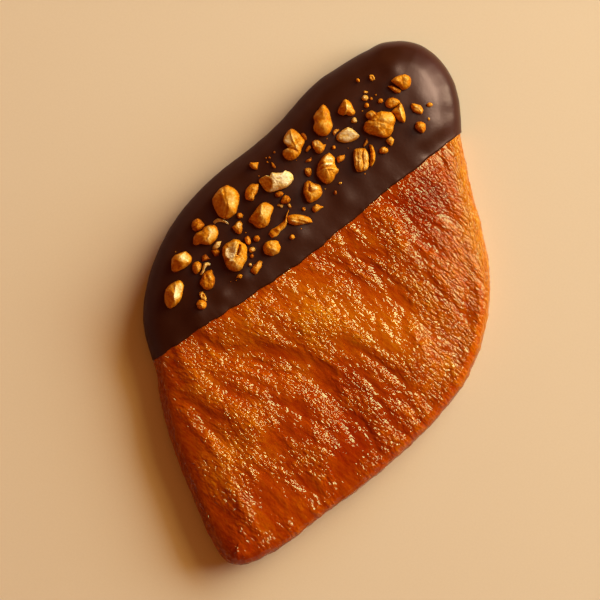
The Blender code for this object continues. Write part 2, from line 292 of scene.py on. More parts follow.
def from_rim(xy):
    """A distance in from the outline that is true near it and has no crease along the middle."""
    total, edge = np.zeros(len(xy)), EDGE[::2]
    length = _step[::2] + _step[1::2]
    for i in range(0, len(xy), 6000):
        p = xy[i : i + 6000]
        gap = (p[:, None, 0] - edge[None, :, 0]) ** 2 + (p[:, None, 1] - edge[None, :, 1]) ** 2 + 0.04
        total[i : i + 6000] = (length / (gap * gap * gap)).sum(1)
    _, inside = nearest_edge(xy)
    return inside + ((total / 1.1781) ** -0.2 - inside) * smooth((inside - RIM[-1][0]) / 8)


# ---------------------------------------------------------------- noise
class Noise:
    """Smooth gradient noise in two dimensions, about -1 to 1."""

    def __init__(self, seed):
        rng = np.random.default_rng(seed)
        angle = rng.uniform(0, 2 * math.pi, (256, 256))
        self.g = np.stack([np.cos(angle), np.sin(angle)], -1)

    def __call__(self, x, y):
        x, y = np.asarray(x, float) + 1000.37, np.asarray(y, float) + 1000.71
        i, j = np.floor(x).astype(int), np.floor(y).astype(int)
        fx, fy = x - i, y - j
        sx, sy = fx**3 * (fx * (6 * fx - 15) + 10), fy**3 * (fy * (6 * fy - 15) + 10)

        def corner(a, b):
            g = self.g[(i + a) & 255, (j + b) & 255]
            return g[..., 0] * (fx - a) + g[..., 1] * (fy - b)

        low = corner(0, 0) * (1 - sx) + corner(1, 0) * sx
        high = corner(0, 1) * (1 - sx) + corner(1, 1) * sx
        return 1.55 * (low * (1 - sy) + high * sy)


N = [Noise(100 + k) for k in range(16)]


def puffed(n, soft=0.12):
    """Rounded tops between narrow creases, about -0.4 to 0.9."""
    return np.sqrt(n * n + soft * soft) * 1.9 - 0.65


# ---------------------------------------------------------------- chocolate's edge
_bow = open_curve([(k, b) for k, b in enumerate(DIP_BOW)], 200)


def dip_frame():
    start, end = np.array(DIP_START), np.array(DIP_END)
    long = np.linalg.norm(end - start)
    along = (end - start) / long
    return start, along, np.array([-along[1], along[0]]), long


def edge_bow(s):
    """How far the chocolate's edge sags towards the bare crust, with the small waves of a dipped edge."""
    _, _, _, long = dip_frame()
    bow = np.interp(s, np.linspace(0, long, 200), _bow[:, 1])
    waves = 0.55 * N[0](s / 9.0, 0.3) + 0.3 * N[1](s / 3.4, 0.7) + 0.16 * N[2](s / 1.5, 0.2)
    return bow + waves


def into_dip(xy):
    start, along, across, _ = dip_frame()
    return (xy - start) @ across + edge_bow((xy - start) @ along)


def coat(d):
    return COAT_EDGE + (COAT - COAT_EDGE) * smooth(d / THINS_OVER)


def made_room(d, start, reach):
    return COAT_EDGE * smooth((d - start) / reach) + (COAT - COAT_EDGE) * smooth(d / THINS_OVER)


# ---------------------------------------------------------------- relief of the crust
def grain_fields():
    """Two polynomials of x and y: one grows along the grain, the other across it, both about 1 per millimetre."""
    places = rows([g[:2] for g in GRAIN])
    turns = np.radians([g[2] for g in GRAIN]) + TURN
    gx, gy = np.meshgrid(np.arange(-56, 57, 8.0), np.arange(-92, 93, 8.0))
    pts = np.stack([gx.ravel(), gy.ravel()], 1)
    near = 1 / (((pts[:, None] - places[None]) ** 2).sum(2) + 60.0) ** 1.5
    t = np.stack([(near * np.cos(turns)).sum(1), (near * np.sin(turns)).sum(1)], 1)
    t /= np.linalg.norm(t, axis=1)[:, None]
    c = np.stack([-t[:, 1], t[:, 0]], 1)
    powers = [(i, j) for i in range(5) for j in range(5 - i) if i + j]

    def slopes(p):
        x, y = p[:, 0] / 60, p[:, 1] / 60
        dx = np.stack([i * x ** max(i - 1, 0) * y**j if i else 0 * x for i, j in powers], 1) / 60
        dy = np.stack([j * x**i * y ** max(j - 1, 0) if j else 0 * x for i, j in powers], 1) / 60
        return dx, dy

    dx, dy = slopes(pts)
    along_t = dx * t[:, :1] + dy * t[:, 1:]
    along_c = dx * c[:, :1] + dy * c[:, 1:]
    one, none = np.ones(len(pts)), np.zeros(len(pts))
    across = np.linalg.lstsq(np.vstack([along_t * 4, along_c]), np.concatenate([none, one]), rcond=None)[0]
    along = np.linalg.lstsq(np.vstack([along_t, along_c]), np.concatenate([one, none]), rcond=None)[0]

    def values(p, weights):
        x, y = p[:, 0] / 60, p[:, 1] / 60
        return sum(w * x**i * y**j for w, (i, j) in zip(weights, powers))

    return lambda p: (values(p, along), values(p, across))


grain = grain_fields()


def line_distance(xy, line):
    near = np.full(len(xy), 1e9)
    for p, q in zip(line[:-1], line[1:]):
        t = np.clip(((xy - p) @ (q - p)) / max((q - p) @ (q - p), 1e-9), 0, 1)
        near = np.minimum(near, np.linalg.norm(xy - p - t[:, None] * (q - p), axis=1))
    return near


def folds(xy):
    height = np.zeros(len(xy))
    for line, high, wide in FOLDS:
        height += high * np.exp(-((line_distance(xy, np.array(line, float)) / wide) ** 2))
    return height


def creases(xy):
    """The single folds and valleys, their lines bent a little."""
    bent = xy + 0.8 * np.stack([N[6](xy[:, 0] / 7, xy[:, 1] / 7), N[8](xy[:, 0] / 7, xy[:, 1] / 7)], 1)
    height = np.zeros(len(xy))
    for line, high, wide in CREASES:
        height += high * np.exp(-((line_distance(bent, rows(line)) / wide) ** 2))
    return height


def spots(xy, table):
    """The sum of soft round spots of a table in the layout."""
    total = np.zeros(len(xy))
    for x, y, radius, much in table:
        total += much * np.exp(-(((xy - np.array(row(x, y))) ** 2).sum(1) / (radius * PX) ** 2))
    return total


def top(xy, deep):
    rise = DOME * (1 - np.exp(-np.maximum(deep - RIM[-1][0], 0) / DOME_REACH))
    return RIM_HEIGHT + rise + folds(xy) * smooth((deep - RIM[-1][0]) / 8)


def sideness(s, inside):
    """1 on the rounded side, 0 on top; it reaches further in where the croissant bulges to the right."""
    out = at(s)[1]
    bulging, below = smooth((out @ direction(10) - 0.55) / 0.4), smooth((out @ direction(-60) - 0.3) / 0.5)
    return smooth((5.5 + 1.5 * bulging - 2.5 * below - inside) / 4.5)


def ridges(xy):
    """The broad and the middle-sized folds that run with the grain."""
    u, v = grain(xy)
    bend = 2.6 * N[3](u / 26, v / 19)
    a = puffed(N[4](u / 26, (v + bend) / 8.2), 0.25)
    bend = bend + 1.1 * N[2](u / 11, v / 6)
    b = puffed(N[5](u / 9, (v + bend) / 3.9), 0.3)
    return a, b


def wrinkles(xy):
    """The fine wrinkles: short, lying with the grain, and how lively each place is, 0 to 1."""
    u, v = grain(xy)
    bend = 1.1 * N[2](u / 11, v / 6) + 0.5 * N[6](u / 6, v / 2.8)
    a = puffed(N[7](u / 3.2, (v + bend) / 1.7), 0.3)
    b = N[8](u / 2.0, (v + 0.5 * bend) / 1.15)
    return a, b, np.clip(0.5 + 0.75 * N[9](u / 16, v / 6) + spots(xy, LIVELY), 0, 1.3)


def rim_streaks(s, inside):
    """Thin layers that run along the rounded side, and its slow dents."""
    bend = 0.9 * N[10](s / 13, inside / 5)
    a = puffed(N[11](s / 9, (inside + bend) / 1.5), 0.25)
    b = N[12](s / 3.4, (inside + bend) / 1.0)
    return a, b, N[1](s / 11, inside / 6 + 5.5)


def crust_relief(xy, s, inside):
    """(displacement in mm, how raised the place is, how lively its fine wrinkles are) of the bare crust."""
    side = sideness(s, inside)
    big, mid = ridges(xy)
    fine, finer, patches = wrinkles(xy)
    single = creases(xy)
    streak, thin, dent = rim_streaks(s, inside)
    raised = 0.6 * big + 0.45 * mid + 0.7 * single
    lively = np.clip(0.1 + (0.15 + 0.85 * smooth(0.42 + 0.75 * raised)) * (0.2 + 1.15 * patches), 0, 1.2)
    lit = 0.65 + 0.3 * smooth((at(s)[1] @ direction(10) + 0.1) / 0.6)
    lively = lively * (1 - side) + (lit + 0.3 * dent) * side
    open_face = 0.19 * big + 0.11 * mid + 0.45 * single + (0.3 + 0.7 * lively) * (0.07 * fine + 0.05 * finer)
    layered = 0.24 - 0.1 * smooth((at(s)[1] @ direction(10) - 0.2) / 0.6)
    on_side = 0.18 * big + 0.15 * mid + 0.3 * single + 0.14 * dent + layered * streak + 0.14 * thin + 0.14 * fine
    return open_face * (1 - side) + on_side * side, raised * (1 - 0.5 * side), lively


# Soft swellings of the chocolate: (layout x, y, radius, height in mm).
SWELLS = [
    (408, 100, 42, 1.2),
    (392, 69, 9, 0.4),
    (384, 47, 8, 0.9),
    (369, 53, 8, -0.6),
    (372, 62, 12, 0.2),
    (434, 131, 15, 0.5),
    (224, 298, 9, 0.6),
    (243, 277, 8, 0.45),
    (196, 312, 10, 0.2),
    (300, 236, 10, 0.35),
    (345, 200, 12, 0.4),
    (384, 168, 12, 0.2),
    (176, 236, 8, 0.2),
    (262, 205, 10, 0.15),
]


def coat_relief(xy, s, inside, d):
    """Displacement of the chocolate: what still shows of the crust under it, and its own slow ripples."""
    big, mid = ridges(xy)
    shows = 0.1 + 0.9 * np.exp(-np.maximum(d, 0) / 3.5)
    side = smooth((8.5 - inside) / 5.5)
    own = 0.3 * N[13](xy[:, 0] / 15, xy[:, 1] / 15) + 0.09 * N[14](xy[:, 0] / 6, xy[:, 1] / 6) + spots(xy, SWELLS)
    under = (0.27 * big + 0.12 * mid * shows) * shows + 0.4 * creases(xy) * shows**2
    return under * (1 - 0.6 * side) + own * smooth(d / 6) * (1 - 0.6 * side) + 0.12 * N[12](s / 5, 3.3) * side * smooth(d / 6)


# ---------------------------------------------------------------- meshes
def profile(count):
    """The rounded side from the underside up: (inset, share of the height, length along it from the top)."""
    line = open_curve([(i, f * RIM_HEIGHT) for i, f in RIM], 400)
    length = np.concatenate([[0], np.cumsum(np.linalg.norm(np.diff(line, axis=0), axis=1))])
    want = np.linspace(0, length[-1], count)
    inset, z = np.interp(want, length, line[:, 0]), np.interp(want, length, line[:, 1])
    return inset, z / RIM_HEIGHT, length[-1] - want


def tight(out, d):
    """How much tighter the upper rounding is, 0 to 1: on the bare flank that faces down and right in the layout."""
    return smooth((out @ direction(-50) - 0.35) / 0.4) * (1 - smooth((d + 8) / 8))


def blend_sides(a, b, left, right, u, v):
    """A grid of points inside four sides. a and b run along u, left and right along v."""
    u, v = u[:, None, None], v[None, :, None]
    return (
        (1 - v) * a[:, None]
        + v * b[:, None]
        + (1 - u) * left[None]
        + u * right[None]
        - ((1 - u) * (1 - v) * a[0] + u * (1 - v) * a[-1] + (1 - u) * v * b[0] + u * v * b[-1])
    )


def relaxed_grid(a, b, left, right, u, v):
    """A grid of points inside four sides like the one above, but each point is at the mean of its neighbours, weighted
    by how near they are, so that it never folds over. u is evenly spaced."""
    n, m = len(u) - 1, len(v) - 1
    grid = np.zeros((n + 1, m + 1, 2))
    grid[:, 0], grid[:, -1], grid[0], grid[-1] = a, b, left, right
    k = np.arange(1, n)
    waves = np.sin(math.pi * np.outer(k, k) / n)
    bend = -(2 - 2 * np.cos(math.pi * k / n))
    gap = np.diff(v)
    back = 2 / n**2 / ((gap[:-1] + gap[1:]) * gap[:-1])
    on = 2 / n**2 / ((gap[:-1] + gap[1:]) * gap[1:])
    rest = -(waves[:, :1, None] * left[None, 1:-1] + waves[:, -1:, None] * right[None, 1:-1])
    rest[:, 0] -= back[0] * (waves @ a[1:-1])
    rest[:, -1] -= on[-1] * (waves @ b[1:-1])
    share = np.zeros((n - 1, m - 1))
    for j in range(m - 1):
        pivot = bend - back[j] - on[j] - (back[j] * share[:, j - 1] if j else 0)
        share[:, j] = on[j] / pivot
        rest[:, j] = (rest[:, j] - (back[j] * rest[:, j - 1] if j else 0)) / pivot[:, None]
    for j in range(m - 3, -1, -1):
        rest[:, j] -= share[:, j : j + 1] * rest[:, j + 1]
    grid[1:-1, 1:-1] = 2 / n * np.einsum("ki,kjc->ijc", waves, rest)
    return grid


def normals_of(points, quads):
    p = points[quads]
    face = np.cross(p[:, 2] - p[:, 0], p[:, 3] - p[:, 1])
    out = np.zeros_like(points)
    for k in range(4):
        for axis in range(3):
            out[:, axis] += np.bincount(quads[:, k], face[:, axis], len(points))
    return out / np.maximum(np.linalg.norm(out, axis=1), 1e-12)[:, None]


def make_mesh(name, points, faces, fields=None, smooth_shading=True):
    """faces is a list of arrays, each of one kind (quads or triangles)."""
    mesh = bpy.data.meshes.new(name)
    loops = np.concatenate([f.ravel() for f in faces])
    sizes = np.concatenate([np.full(len(f), f.shape[1]) for f in faces])
    mesh.vertices.add(len(points))
    mesh.vertices.foreach_set("co", (points * MM).astype(np.float32).ravel())
    mesh.loops.add(len(loops))
    mesh.loops.foreach_set("vertex_index", loops.astype(np.int32))
    mesh.polygons.add(len(sizes))
    mesh.polygons.foreach_set("loop_start", np.concatenate([[0], np.cumsum(sizes)[:-1]]).astype(np.int32))
    mesh.update(calc_edges=True)
    mesh.validate()
    for key, values in (fields or {}).items():
        kind = "FLOAT_VECTOR" if values.ndim == 2 else "FLOAT"
        layer = mesh.attributes.new(key, kind, "POINT")
        layer.data.foreach_set("vector" if values.ndim == 2 else "value", values.astype(np.float32).ravel())
    if smooth_shading:
        mesh.polygons.foreach_set("use_smooth", np.ones(len(mesh.polygons), bool))
    obj = bpy.data.objects.new(name, mesh)
    bpy.context.scene.collection.objects.link(obj)
    return obj


LONG, SHORT_HIDDEN, SHORT_SHOWN, RIM_ROWS = ((300, 24, 200, 19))


def build_crust():
    """The whole crust as one closed skin: a grid on top, rings down the side, a coarser grid underneath."""
    u = np.linspace(0, 1, LONG + 1)
    v = np.concatenate(
        [np.linspace(0, 0.27, SHORT_HIDDEN, endpoint=False), np.linspace(0.27, 1, SHORT_SHOWN + 1)]
    )
    n, m = LONG, len(v) - 1
    nose, shoulder, tip, bulge = (arc_of(p) for p in (NOSE, SHOULDER, TIP, BULGE))

    def stretch(a, b, t):
        if b <= a:
            b += AROUND
        return a + (b - a) * t

    s = np.concatenate(
        [
            stretch(nose, shoulder, u[:-1]),
            stretch(shoulder, tip, v[:-1]),
            stretch(tip, bulge, (1 - u[::-1])[:-1]),
            stretch(bulge, nose, (1 - v[::-1])[:-1]),
        ]
    )
    count = len(s)
    xy0, out = at(s)
    d0 = into_dip(xy0)
    room = made_room(d0, -TAPER_IN, TAPER_IN)
    inset, share, down = profile(RIM_ROWS)
    rings, plan, where = [], [], []
    for i, f, length in zip(inset, share, down):
        pull = 1 - 0.55 * tight(out, d0) if f > RIM[3][1] else np.ones(count)
        xy = xy0 - out * (room + i * pull)[:, None]
        low = made_room(d0, -TAPER_IN - 2, TAPER_IN + 1)
        rings.append(np.column_stack([xy, low + (RIM_HEIGHT - low) * f]))
        plan.append(xy)
        where.append(np.column_stack([s, np.full(count, RIM[-1][0] - length)]))
    edge = rings[-1][:, :2]

    def sides(ring):
        a, right = ring[0 : n + 1], ring[n : n + m + 1]
        b = ring[n + m : 2 * n + m + 1][::-1]
        left = np.vstack([ring[2 * n + m :], ring[:1]])[::-1]
        return a, b, left, right

    a, b, left, right = sides(edge)
    grid = relaxed_grid(a, b, left, right, u, v)
    inner = grid[1:-1, 1:-1].reshape(-1, 2)
    deep = from_rim(inner)
    s_in, inside = nearest_edge(inner)
    points = np.vstack(rings + [np.column_stack([inner, top(inner, deep)])])
    plan = np.vstack(plan + [inner])
    where = np.vstack(where + [np.column_stack([s_in, np.maximum(inside, RIM[-1][0])])])

    ring_id = np.arange(len(rings) * count).reshape(len(rings), count)
    quads = []
    for low, high in zip(ring_id[:-1], ring_id[1:]):
        quads.append(np.stack([low, np.roll(low, -1), np.roll(high, -1), high], 1))

    def lattice(ring, first, rows, cols):
        """Vertex numbers of a grid whose border is a ring."""
        g = np.zeros((rows + 1, cols + 1), int)
        total = 2 * (rows + cols)
        g[:, 0] = ring[: rows + 1]
        g[rows, :] = ring[rows : rows + cols + 1]
        g[:, cols] = ring[(np.arange(total - cols, rows + cols - 1, -1)) % total][: rows + 1]
        g[0, :] = ring[(-np.arange(cols + 1)) % total]
        g[1:-1, 1:-1] = first + np.arange((rows - 1) * (cols - 1)).reshape(rows - 1, cols - 1)
        return g

    g = lattice(ring_id[-1], len(rings) * count, n, m)
    quads.append(np.stack([g[:-1, :-1], g[:-1, 1:], g[1:, 1:], g[1:, :-1]], -1).reshape(-1, 4)[:, ::-1])
    quads = np.vstack(quads)

    # underside: a ring with a quarter of the points, a little further in, then a coarse grid
    cn, cm = n // 4, m // 4
    cv = v[::4]
    base_ring = xy0[::4] - out[::4] * (room[::4] + inset[0] + 1.6)[:, None]

    def csides(ring):
        a, right = ring[0 : cn + 1], ring[cn : cn + cm + 1]
        b = ring[cn + cm : 2 * cn + cm + 1][::-1]
        left = np.vstack([ring[2 * cn + cm :], ring[:1]])[::-1]
        return a, b, left, right

    under = relaxed_grid(*csides(base_ring), u[::4], cv)[1:-1, 1:-1].reshape(-1, 2)
    flat = np.vstack([base_ring, under])
    lift = made_room(into_dip(flat), -TAPER_IN - 2, TAPER_IN + 1)
    start = len(points)
    below = np.column_stack([flat, lift])
    cring = start + np.arange(len(base_ring))
    cg = lattice(cring, start + len(base_ring), cn, cm)
    under_quads = np.stack([cg[:-1, :-1], cg[1:, :-1], cg[1:, 1:], cg[:-1, 1:]], -1).reshape(-1, 4)[:, ::-1]
    fine_ring, tris = ring_id[0], []
    for k in range(len(cring)):
        c0, c1 = cring[k], cring[(k + 1) % len(cring)]
        f = [fine_ring[(4 * k + j) % count] for j in range(5)]
        tris += [(c0, f[1], f[0]), (c0, f[2], f[1]), (c0, c1, f[2]), (c1, f[3], f[2]), (c1, f[4], f[3])]
    tris = np.array(tris)[:, ::-1]

    # relief
    normal = normals_of(points, quads)
    d = into_dip(plan)
    bare = 1 - smooth((d - 0.2) / 1.2)
    push, raised, lively = crust_relief(plan, where[:, 0], where[:, 1])
    sheet = coat_relief(plan, where[:, 0], where[:, 1], d)
    push = push * bare + (sheet - 0.3) * (1 - bare)
    foot = smooth(points[:, 2] / 2.2)  # the flat underside keeps its level
    points = points + normal * (push * foot)[:, None]
    points = np.vstack([points, below])
    fields = {}
    u_g, v_g = grain(plan)
    pad = len(below)
    fields["grain"] = np.vstack([np.column_stack([u_g, v_g, 0 * u_g]), np.column_stack([*grain(flat), 0 * flat[:, 0]])])
    fields["rim"] = np.vstack([np.column_stack([where, 0 * where[:, 0]]), np.zeros((pad, 3))])
    fields["raised"] = np.concatenate([raised, np.zeros(pad)])
    fields["lively"] = np.concatenate([lively, np.full(pad, 0.4)])
    fields["side"] = np.concatenate([sideness(where[:, 0], where[:, 1]), np.ones(pad)])
    # The rounded side is golden all round; it is painted more golden where it faces the light, so this is partly its
    # own colour and partly painted light.
    faces_light = at(where[:, 0])[1] @ direction(14)
    fields["side_gold_and_painted_light"] = np.concatenate([sideness(where[:, 0], where[:, 1]) * (0.65 + 0.35 * smooth((faces_light - 0.3) / 0.5)), np.zeros(pad)])
    fields["bake"] = np.concatenate([browning(plan, where[:, 0], where[:, 1]), np.full(pad, 0.15)])
    return make_mesh("crust", points, [quads, under_quads, tris], fields)


# Broad colour of the bake: (layout x, y, radius, how much lighter (+) or browner (-)).
BAKE = [
    (300, 290, 34, 0.12),
    (345, 316, 34, 0.18),
    (400, 335, 30, 0.2),
    (440, 372, 20, 0.15),
    (250, 318, 26, 0.12),
    (250, 345, 22, 0.1),
    (420, 200, 30, -0.5),
    (400, 240, 26, 0.08),
    (370, 262, 22, -0.05),
    (450, 300, 32, 0.08),
    (470, 230, 20, 0.22),
    (470, 330, 20, 0.1),
    (306, 358, 24, 0.2),
    (350, 382, 26, -0.12),
    (390, 405, 22, -0.1),
    (350, 440, 28, -0.32),
    (300, 420, 26, -0.15),
    (205, 385, 24, 0.26),
    (250, 430, 28, 0.12),
    (225, 480, 24, 0.2),
    (262, 500, 22, -0.16),
    (300, 495, 26, 0.0),
    (240, 545, 26, -0.12),
    (320, 455, 16, 0.08),
    (182, 440, 16, 0.1),
    (200, 490, 18, 0.1),
]


def browning(xy, s, inside):
    """0 dark, 0.5 middle, 1 pale golden. On the rounded side the tone is painted lighter where it faces the light:
    painted light.
    """
    tone = 0.45 + spots(xy, BAKE) + 0.08 * N[15](xy[:, 0] / 17, xy[:, 1] / 17)
    faces_light = at(s)[1] @ direction(18)
    # painted light: the rounded side that faces the light is given a lighter tone
    rim = 0.26 + 0.24 * smooth((faces_light - 0.45) / 0.5)
    band = sideness(s, inside + 0.5)
    return np.clip(tone * (1 - band) + rim * band, 0, 1)


crust = build_crust()
print("crust", len(crust.data.vertices), len(crust.data.polygons))

# ---------------------------------------------------------------- chocolate
CHOC_LONG, CHOC_SHORT, CHOC_ROWS = ((230, 46, 17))


def build_coat():
    """The dipped coat: outside and inside skins over the top, side and underside, joined by a rounded lip."""
    start, along, across, long = dip_frame()
    u = np.linspace(0, 1, CHOC_LONG + 1)
    v = np.concatenate([[0, 0.0018, 0.004, 0.0072, 0.0115, 0.017, 0.024, 0.034], np.linspace(0.05, 1, CHOC_SHORT - 7)])
    n, m = len(u) - 1, len(v) - 1
    inset, share, down = profile(CHOC_ROWS)
    s_end, s_start = arc_of(DIP_END), arc_of(DIP_START)
    if s_start < s_end:
        s_start += AROUND

    def lip(d, thick):
        r = 0.55
        round_off = np.sqrt(np.clip(1 - (1 - np.clip(d / r, 0, 1)) ** 2, 0, 1))
        return (thick + 0.14) * round_off - 0.14

    def skin(outside):
        def grow(d):
            return lip(d, coat(d)) if outside else np.full(np.shape(d), -0.26)

        def ring(s, i):
            xy0, out = at(s)
            d = into_dip(xy0)
            return xy0 + out * (-made_room(d, -TAPER_IN, TAPER_IN) - i)[:, None], out

        def ends(i):
            """Where the ring at inset i meets the chocolate's edge, by halving."""
            found = []
            for guess, way in ((s_end, -1), (s_start, 1)):
                low, high = guess + way * 12.0, guess - way * 12.0  # outside the dip, inside it
                for _ in range(40):
                    mid = 0.5 * (low + high)
                    if into_dip(ring(np.array([mid]), i)[0])[0] < 0:
                        low = mid
                    else:
                        high = mid
                found.append(0.5 * (low + high))
            return found

        c1, c2 = arc_of(NOSE), arc_of(SHOULDER)
        if c1 < s_end:
            c1 += AROUND
        if c2 < c1:
            c2 += AROUND

        def marks(i):
            s0, s1 = ends(i)
            if s1 < s0:
                s1 += AROUND
            return np.concatenate([s0 + (c1 - s0) * v[:-1], c1 + (c2 - c1) * u[:-1], s1 - (s1 - c2) * v[::-1]])

        def edge_line(p, q):
            """The chocolate's edge between two points that lie on it."""
            t = ((q - start) @ along) * (1 - u) + ((p - start) @ along) * u
            return start + along * t[:, None] - across * edge_bow(t)[:, None]

        rows, plan, where, normal_hint = [], [], [], []
        for i, f, length in zip(inset, share, down):
            s = marks(i)
            xy, out = ring(s, i)
            d = into_dip(xy)
            d[0] = d[-1] = 0.0
            g = grow(d)
            low = made_room(d, -TAPER_IN - 2, TAPER_IN + 1) - g
            high = RIM_HEIGHT + g
            rows.append(np.column_stack([xy + out * g[:, None], low + (high - low) * f]))
            plan.append(xy)
            where.append(np.column_stack([s, np.full(len(s), RIM[-1][0] - length), d]))
        count = n + 2 * m + 1

        def patch(xy_ring):
            right = xy_ring[: m + 1]
            b = xy_ring[m : m + n + 1][::-1]
            left = xy_ring[m + n :][::-1]
            a = edge_line(right[0], left[0])
            a[0], a[-1] = left[0], right[0]
            return blend_sides(a, b, left, right, u, v)

        row_id = np.arange(len(rows) * count).reshape(len(rows), count)

        def lattice(ring_ids, first):
            g = np.zeros((n + 1, m + 1), int)
            g[1:-1, :m] = first + np.arange((n - 1) * m).reshape(n - 1, m)
            g[n, :] = ring_ids[: m + 1]
            g[:, m] = ring_ids[m : m + n + 1][::-1]
            g[0, :] = ring_ids[m + n :][::-1]
            return g

        upper = patch(plan[-1])[1:-1, :m].reshape(-1, 2)
        lower = patch(plan[0])[1:-1, :m].reshape(-1, 2)
        d_up, d_low = into_dip(upper), into_dip(lower)
        d_up.reshape(n - 1, m)[:, 0] = 0
        d_low.reshape(n - 1, m)[:, 0] = 0
        s_up, in_up = nearest_edge(upper)
        first_up = len(rows) * count
        first_low = first_up + len(upper)
        g_low = grow(d_low)
        points = np.vstack(
            rows
            + [np.column_stack([upper, top(upper, from_rim(upper)) + grow(d_up)])]
            + [np.column_stack([lower, made_room(d_low, -TAPER_IN - 2, TAPER_IN + 1) - g_low])]
        )
        up, down_ = lattice(row_id[-1], first_up), lattice(row_id[0], first_low)
        quads = [np.stack([r0[:-1], r0[1:], r1[1:], r1[:-1]], 1) for r0, r1 in zip(row_id[:-1], row_id[1:])]
        quads.append(np.stack([up[:-1, :-1], up[1:, :-1], up[1:, 1:], up[:-1, 1:]], -1).reshape(-1, 4))
        quads.append(np.stack([down_[:-1, :-1], down_[:-1, 1:], down_[1:, 1:], down_[1:, :-1]], -1).reshape(-1, 4))
        quads = np.vstack(quads)
        plan_all = np.vstack(plan + [upper, lower])
        where_all = np.vstack(
            where
            + [np.column_stack([s_up, np.maximum(in_up, RIM[-1][0]), d_up])]
            + [np.column_stack([0 * d_low, 0 * d_low - 14.0, d_low])]
        )
        normal = normals_of(points, quads)
        push = coat_relief(plan_all, where_all[:, 0], where_all[:, 1], where_all[:, 2])
        push *= smooth(points[:, 2] / 2.2)
        points = points + normal * push[:, None]
        points[:, 2] = np.maximum(points[:, 2], 0.0 if outside else 0.2)
        border = np.concatenate([up[:, 0], row_id[::-1, 0][1:], down_[::-1, 0][1:], row_id[:, -1][1:-1]])
        return points, quads, border, where_all

    outer, outer_quads, border, where = skin(True)
    inner, inner_quads, border_in, where_in = skin(False)
    shift = len(outer)
    nxt = np.roll(border, -1)
    nxt_in = np.roll(border_in, -1) + shift
    bridge = np.stack([border, nxt, nxt_in, border_in + shift], 1)
    points = np.vstack([outer, inner])
    quads = np.vstack([outer_quads, inner_quads[:, ::-1] + shift, bridge])
    where = np.vstack([where, where_in])
    away = 1 - smooth((at(where[:, 0])[1] @ direction(33) + 0.2) / 0.6)
    fields = {"shaded": away * smooth((6 - where[:, 1]) / 4)}  # the side that faces away from the light
    return make_mesh("coat", points, [quads], fields)


coat_piece = build_coat()
print("coat", len(coat_piece.data.vertices), len(coat_piece.data.polygons))

# ---------------------------------------------------------------- materials
def material(name):
    mat = bpy.data.materials.new(name)
    mat.use_nodes = True
    tree = mat.node_tree
    tree.nodes.clear()
    out = tree.nodes.new("ShaderNodeOutputMaterial")
    shader = tree.nodes.new("ShaderNodeBsdfPrincipled")
    tree.links.new(shader.outputs[0], out.inputs[0])
    return mat, tree, shader


def node(tree, kind, inputs=None, **settings):
    n = tree.nodes.new(kind)
    for key, value in settings.items():
        setattr(n, key, value)
    for key, value in (inputs or {}).items():
        socket = n.inputs[key]
        if isinstance(value, bpy.types.NodeSocket):
            tree.links.new(value, socket)
        else:
            socket.default_value = value
    return n


def math_node(tree, operation, a, b=None, clamp=False):
    n = tree.nodes.new("ShaderNodeMath")
    n.operation = operation
    n.use_clamp = clamp
    for k, value in enumerate((a, b)):
        if value is None:
            continue
        if isinstance(value, bpy.types.NodeSocket):
            tree.links.new(value, n.inputs[k])
        else:
            n.inputs[k].default_value = value
    return n.outputs[0]


def attribute(tree, name, output="Fac"):
    n = tree.nodes.new("ShaderNodeAttribute")
    n.attribute_name = name
    return n.outputs[output]


def ramp(tree, fac, stops, interpolation="LINEAR"):
    n = tree.nodes.new("ShaderNodeValToRGB")
    tree.links.new(fac, n.inputs[0])
    n.color_ramp.interpolation = interpolation
    while len(n.color_ramp.elements) < len(stops):
        n.color_ramp.elements.new(0.5)
    for element, (position, colour) in zip(n.color_ramp.elements, stops):
        element.position = position
        element.color = (*colour, 1) if len(colour) == 3 else colour
    return n.outputs[0]


def mix(tree, fac, a, b, blend="MIX"):
    n = tree.nodes.new("ShaderNodeMix")
    n.data_type = "RGBA"
    n.blend_type = blend
    for index, value in ((0, fac), (6, a), (7, b)):
        if isinstance(value, bpy.types.NodeSocket):
            tree.links.new(value, n.inputs[index])
        elif index == 0:
            n.inputs[0].default_value = value
        else:
            n.inputs[index].default_value = (*value, 1)
    return n.outputs[2]


def stretched(tree, vector, scale):
    n = tree.nodes.new("ShaderNodeMapping")
    n.vector_type = "POINT"
    n.inputs["Scale"].default_value = scale
    tree.links.new(vector, n.inputs["Vector"])
    return n.outputs[0]


def noise(tree, vector, scale, detail=2.0, rough=0.5, twist=0.0):
    n = tree.nodes.new("ShaderNodeTexNoise")
    tree.links.new(stretched(tree, vector, scale), n.inputs["Vector"])
    for key, value in (("Scale", 1.0), ("Detail", detail), ("Roughness", rough), ("Distortion", twist)):
        n.inputs[key].default_value = value
    return n.outputs[0]


def blend(tree, fac, a, b):
    n = tree.nodes.new("ShaderNodeMix")
    for index, value in ((0, fac), (2, a), (3, b)):
        if isinstance(value, bpy.types.NodeSocket):
            tree.links.new(value, n.inputs[index])
        else:
            n.inputs[index].default_value = value
    return n.outputs[0]


def cells(tree, vector, scale, soft=0.5):
    """Rounded tops with dents between them: 1 in the middle of a cell, 0 far from it."""
    n = tree.nodes.new("ShaderNodeTexVoronoi")
    n.feature = "SMOOTH_F1"
    tree.links.new(stretched(tree, vector, scale), n.inputs["Vector"])
    n.inputs["Scale"].default_value = 1.0
    n.inputs["Smoothness"].default_value = soft
    return math_node(tree, "SUBTRACT", 1.0, n.outputs["Distance"])


def add_scaled(tree, value, by, to):
    """value * by + to."""
    n = tree.nodes.new("ShaderNodeMath")
    n.operation = "MULTIPLY_ADD"
    for index, v in enumerate((value, by, to)):
        if isinstance(v, bpy.types.NodeSocket):
            tree.links.new(v, n.inputs[index])
        else:
            n.inputs[index].default_value = v
    return n.outputs[0]


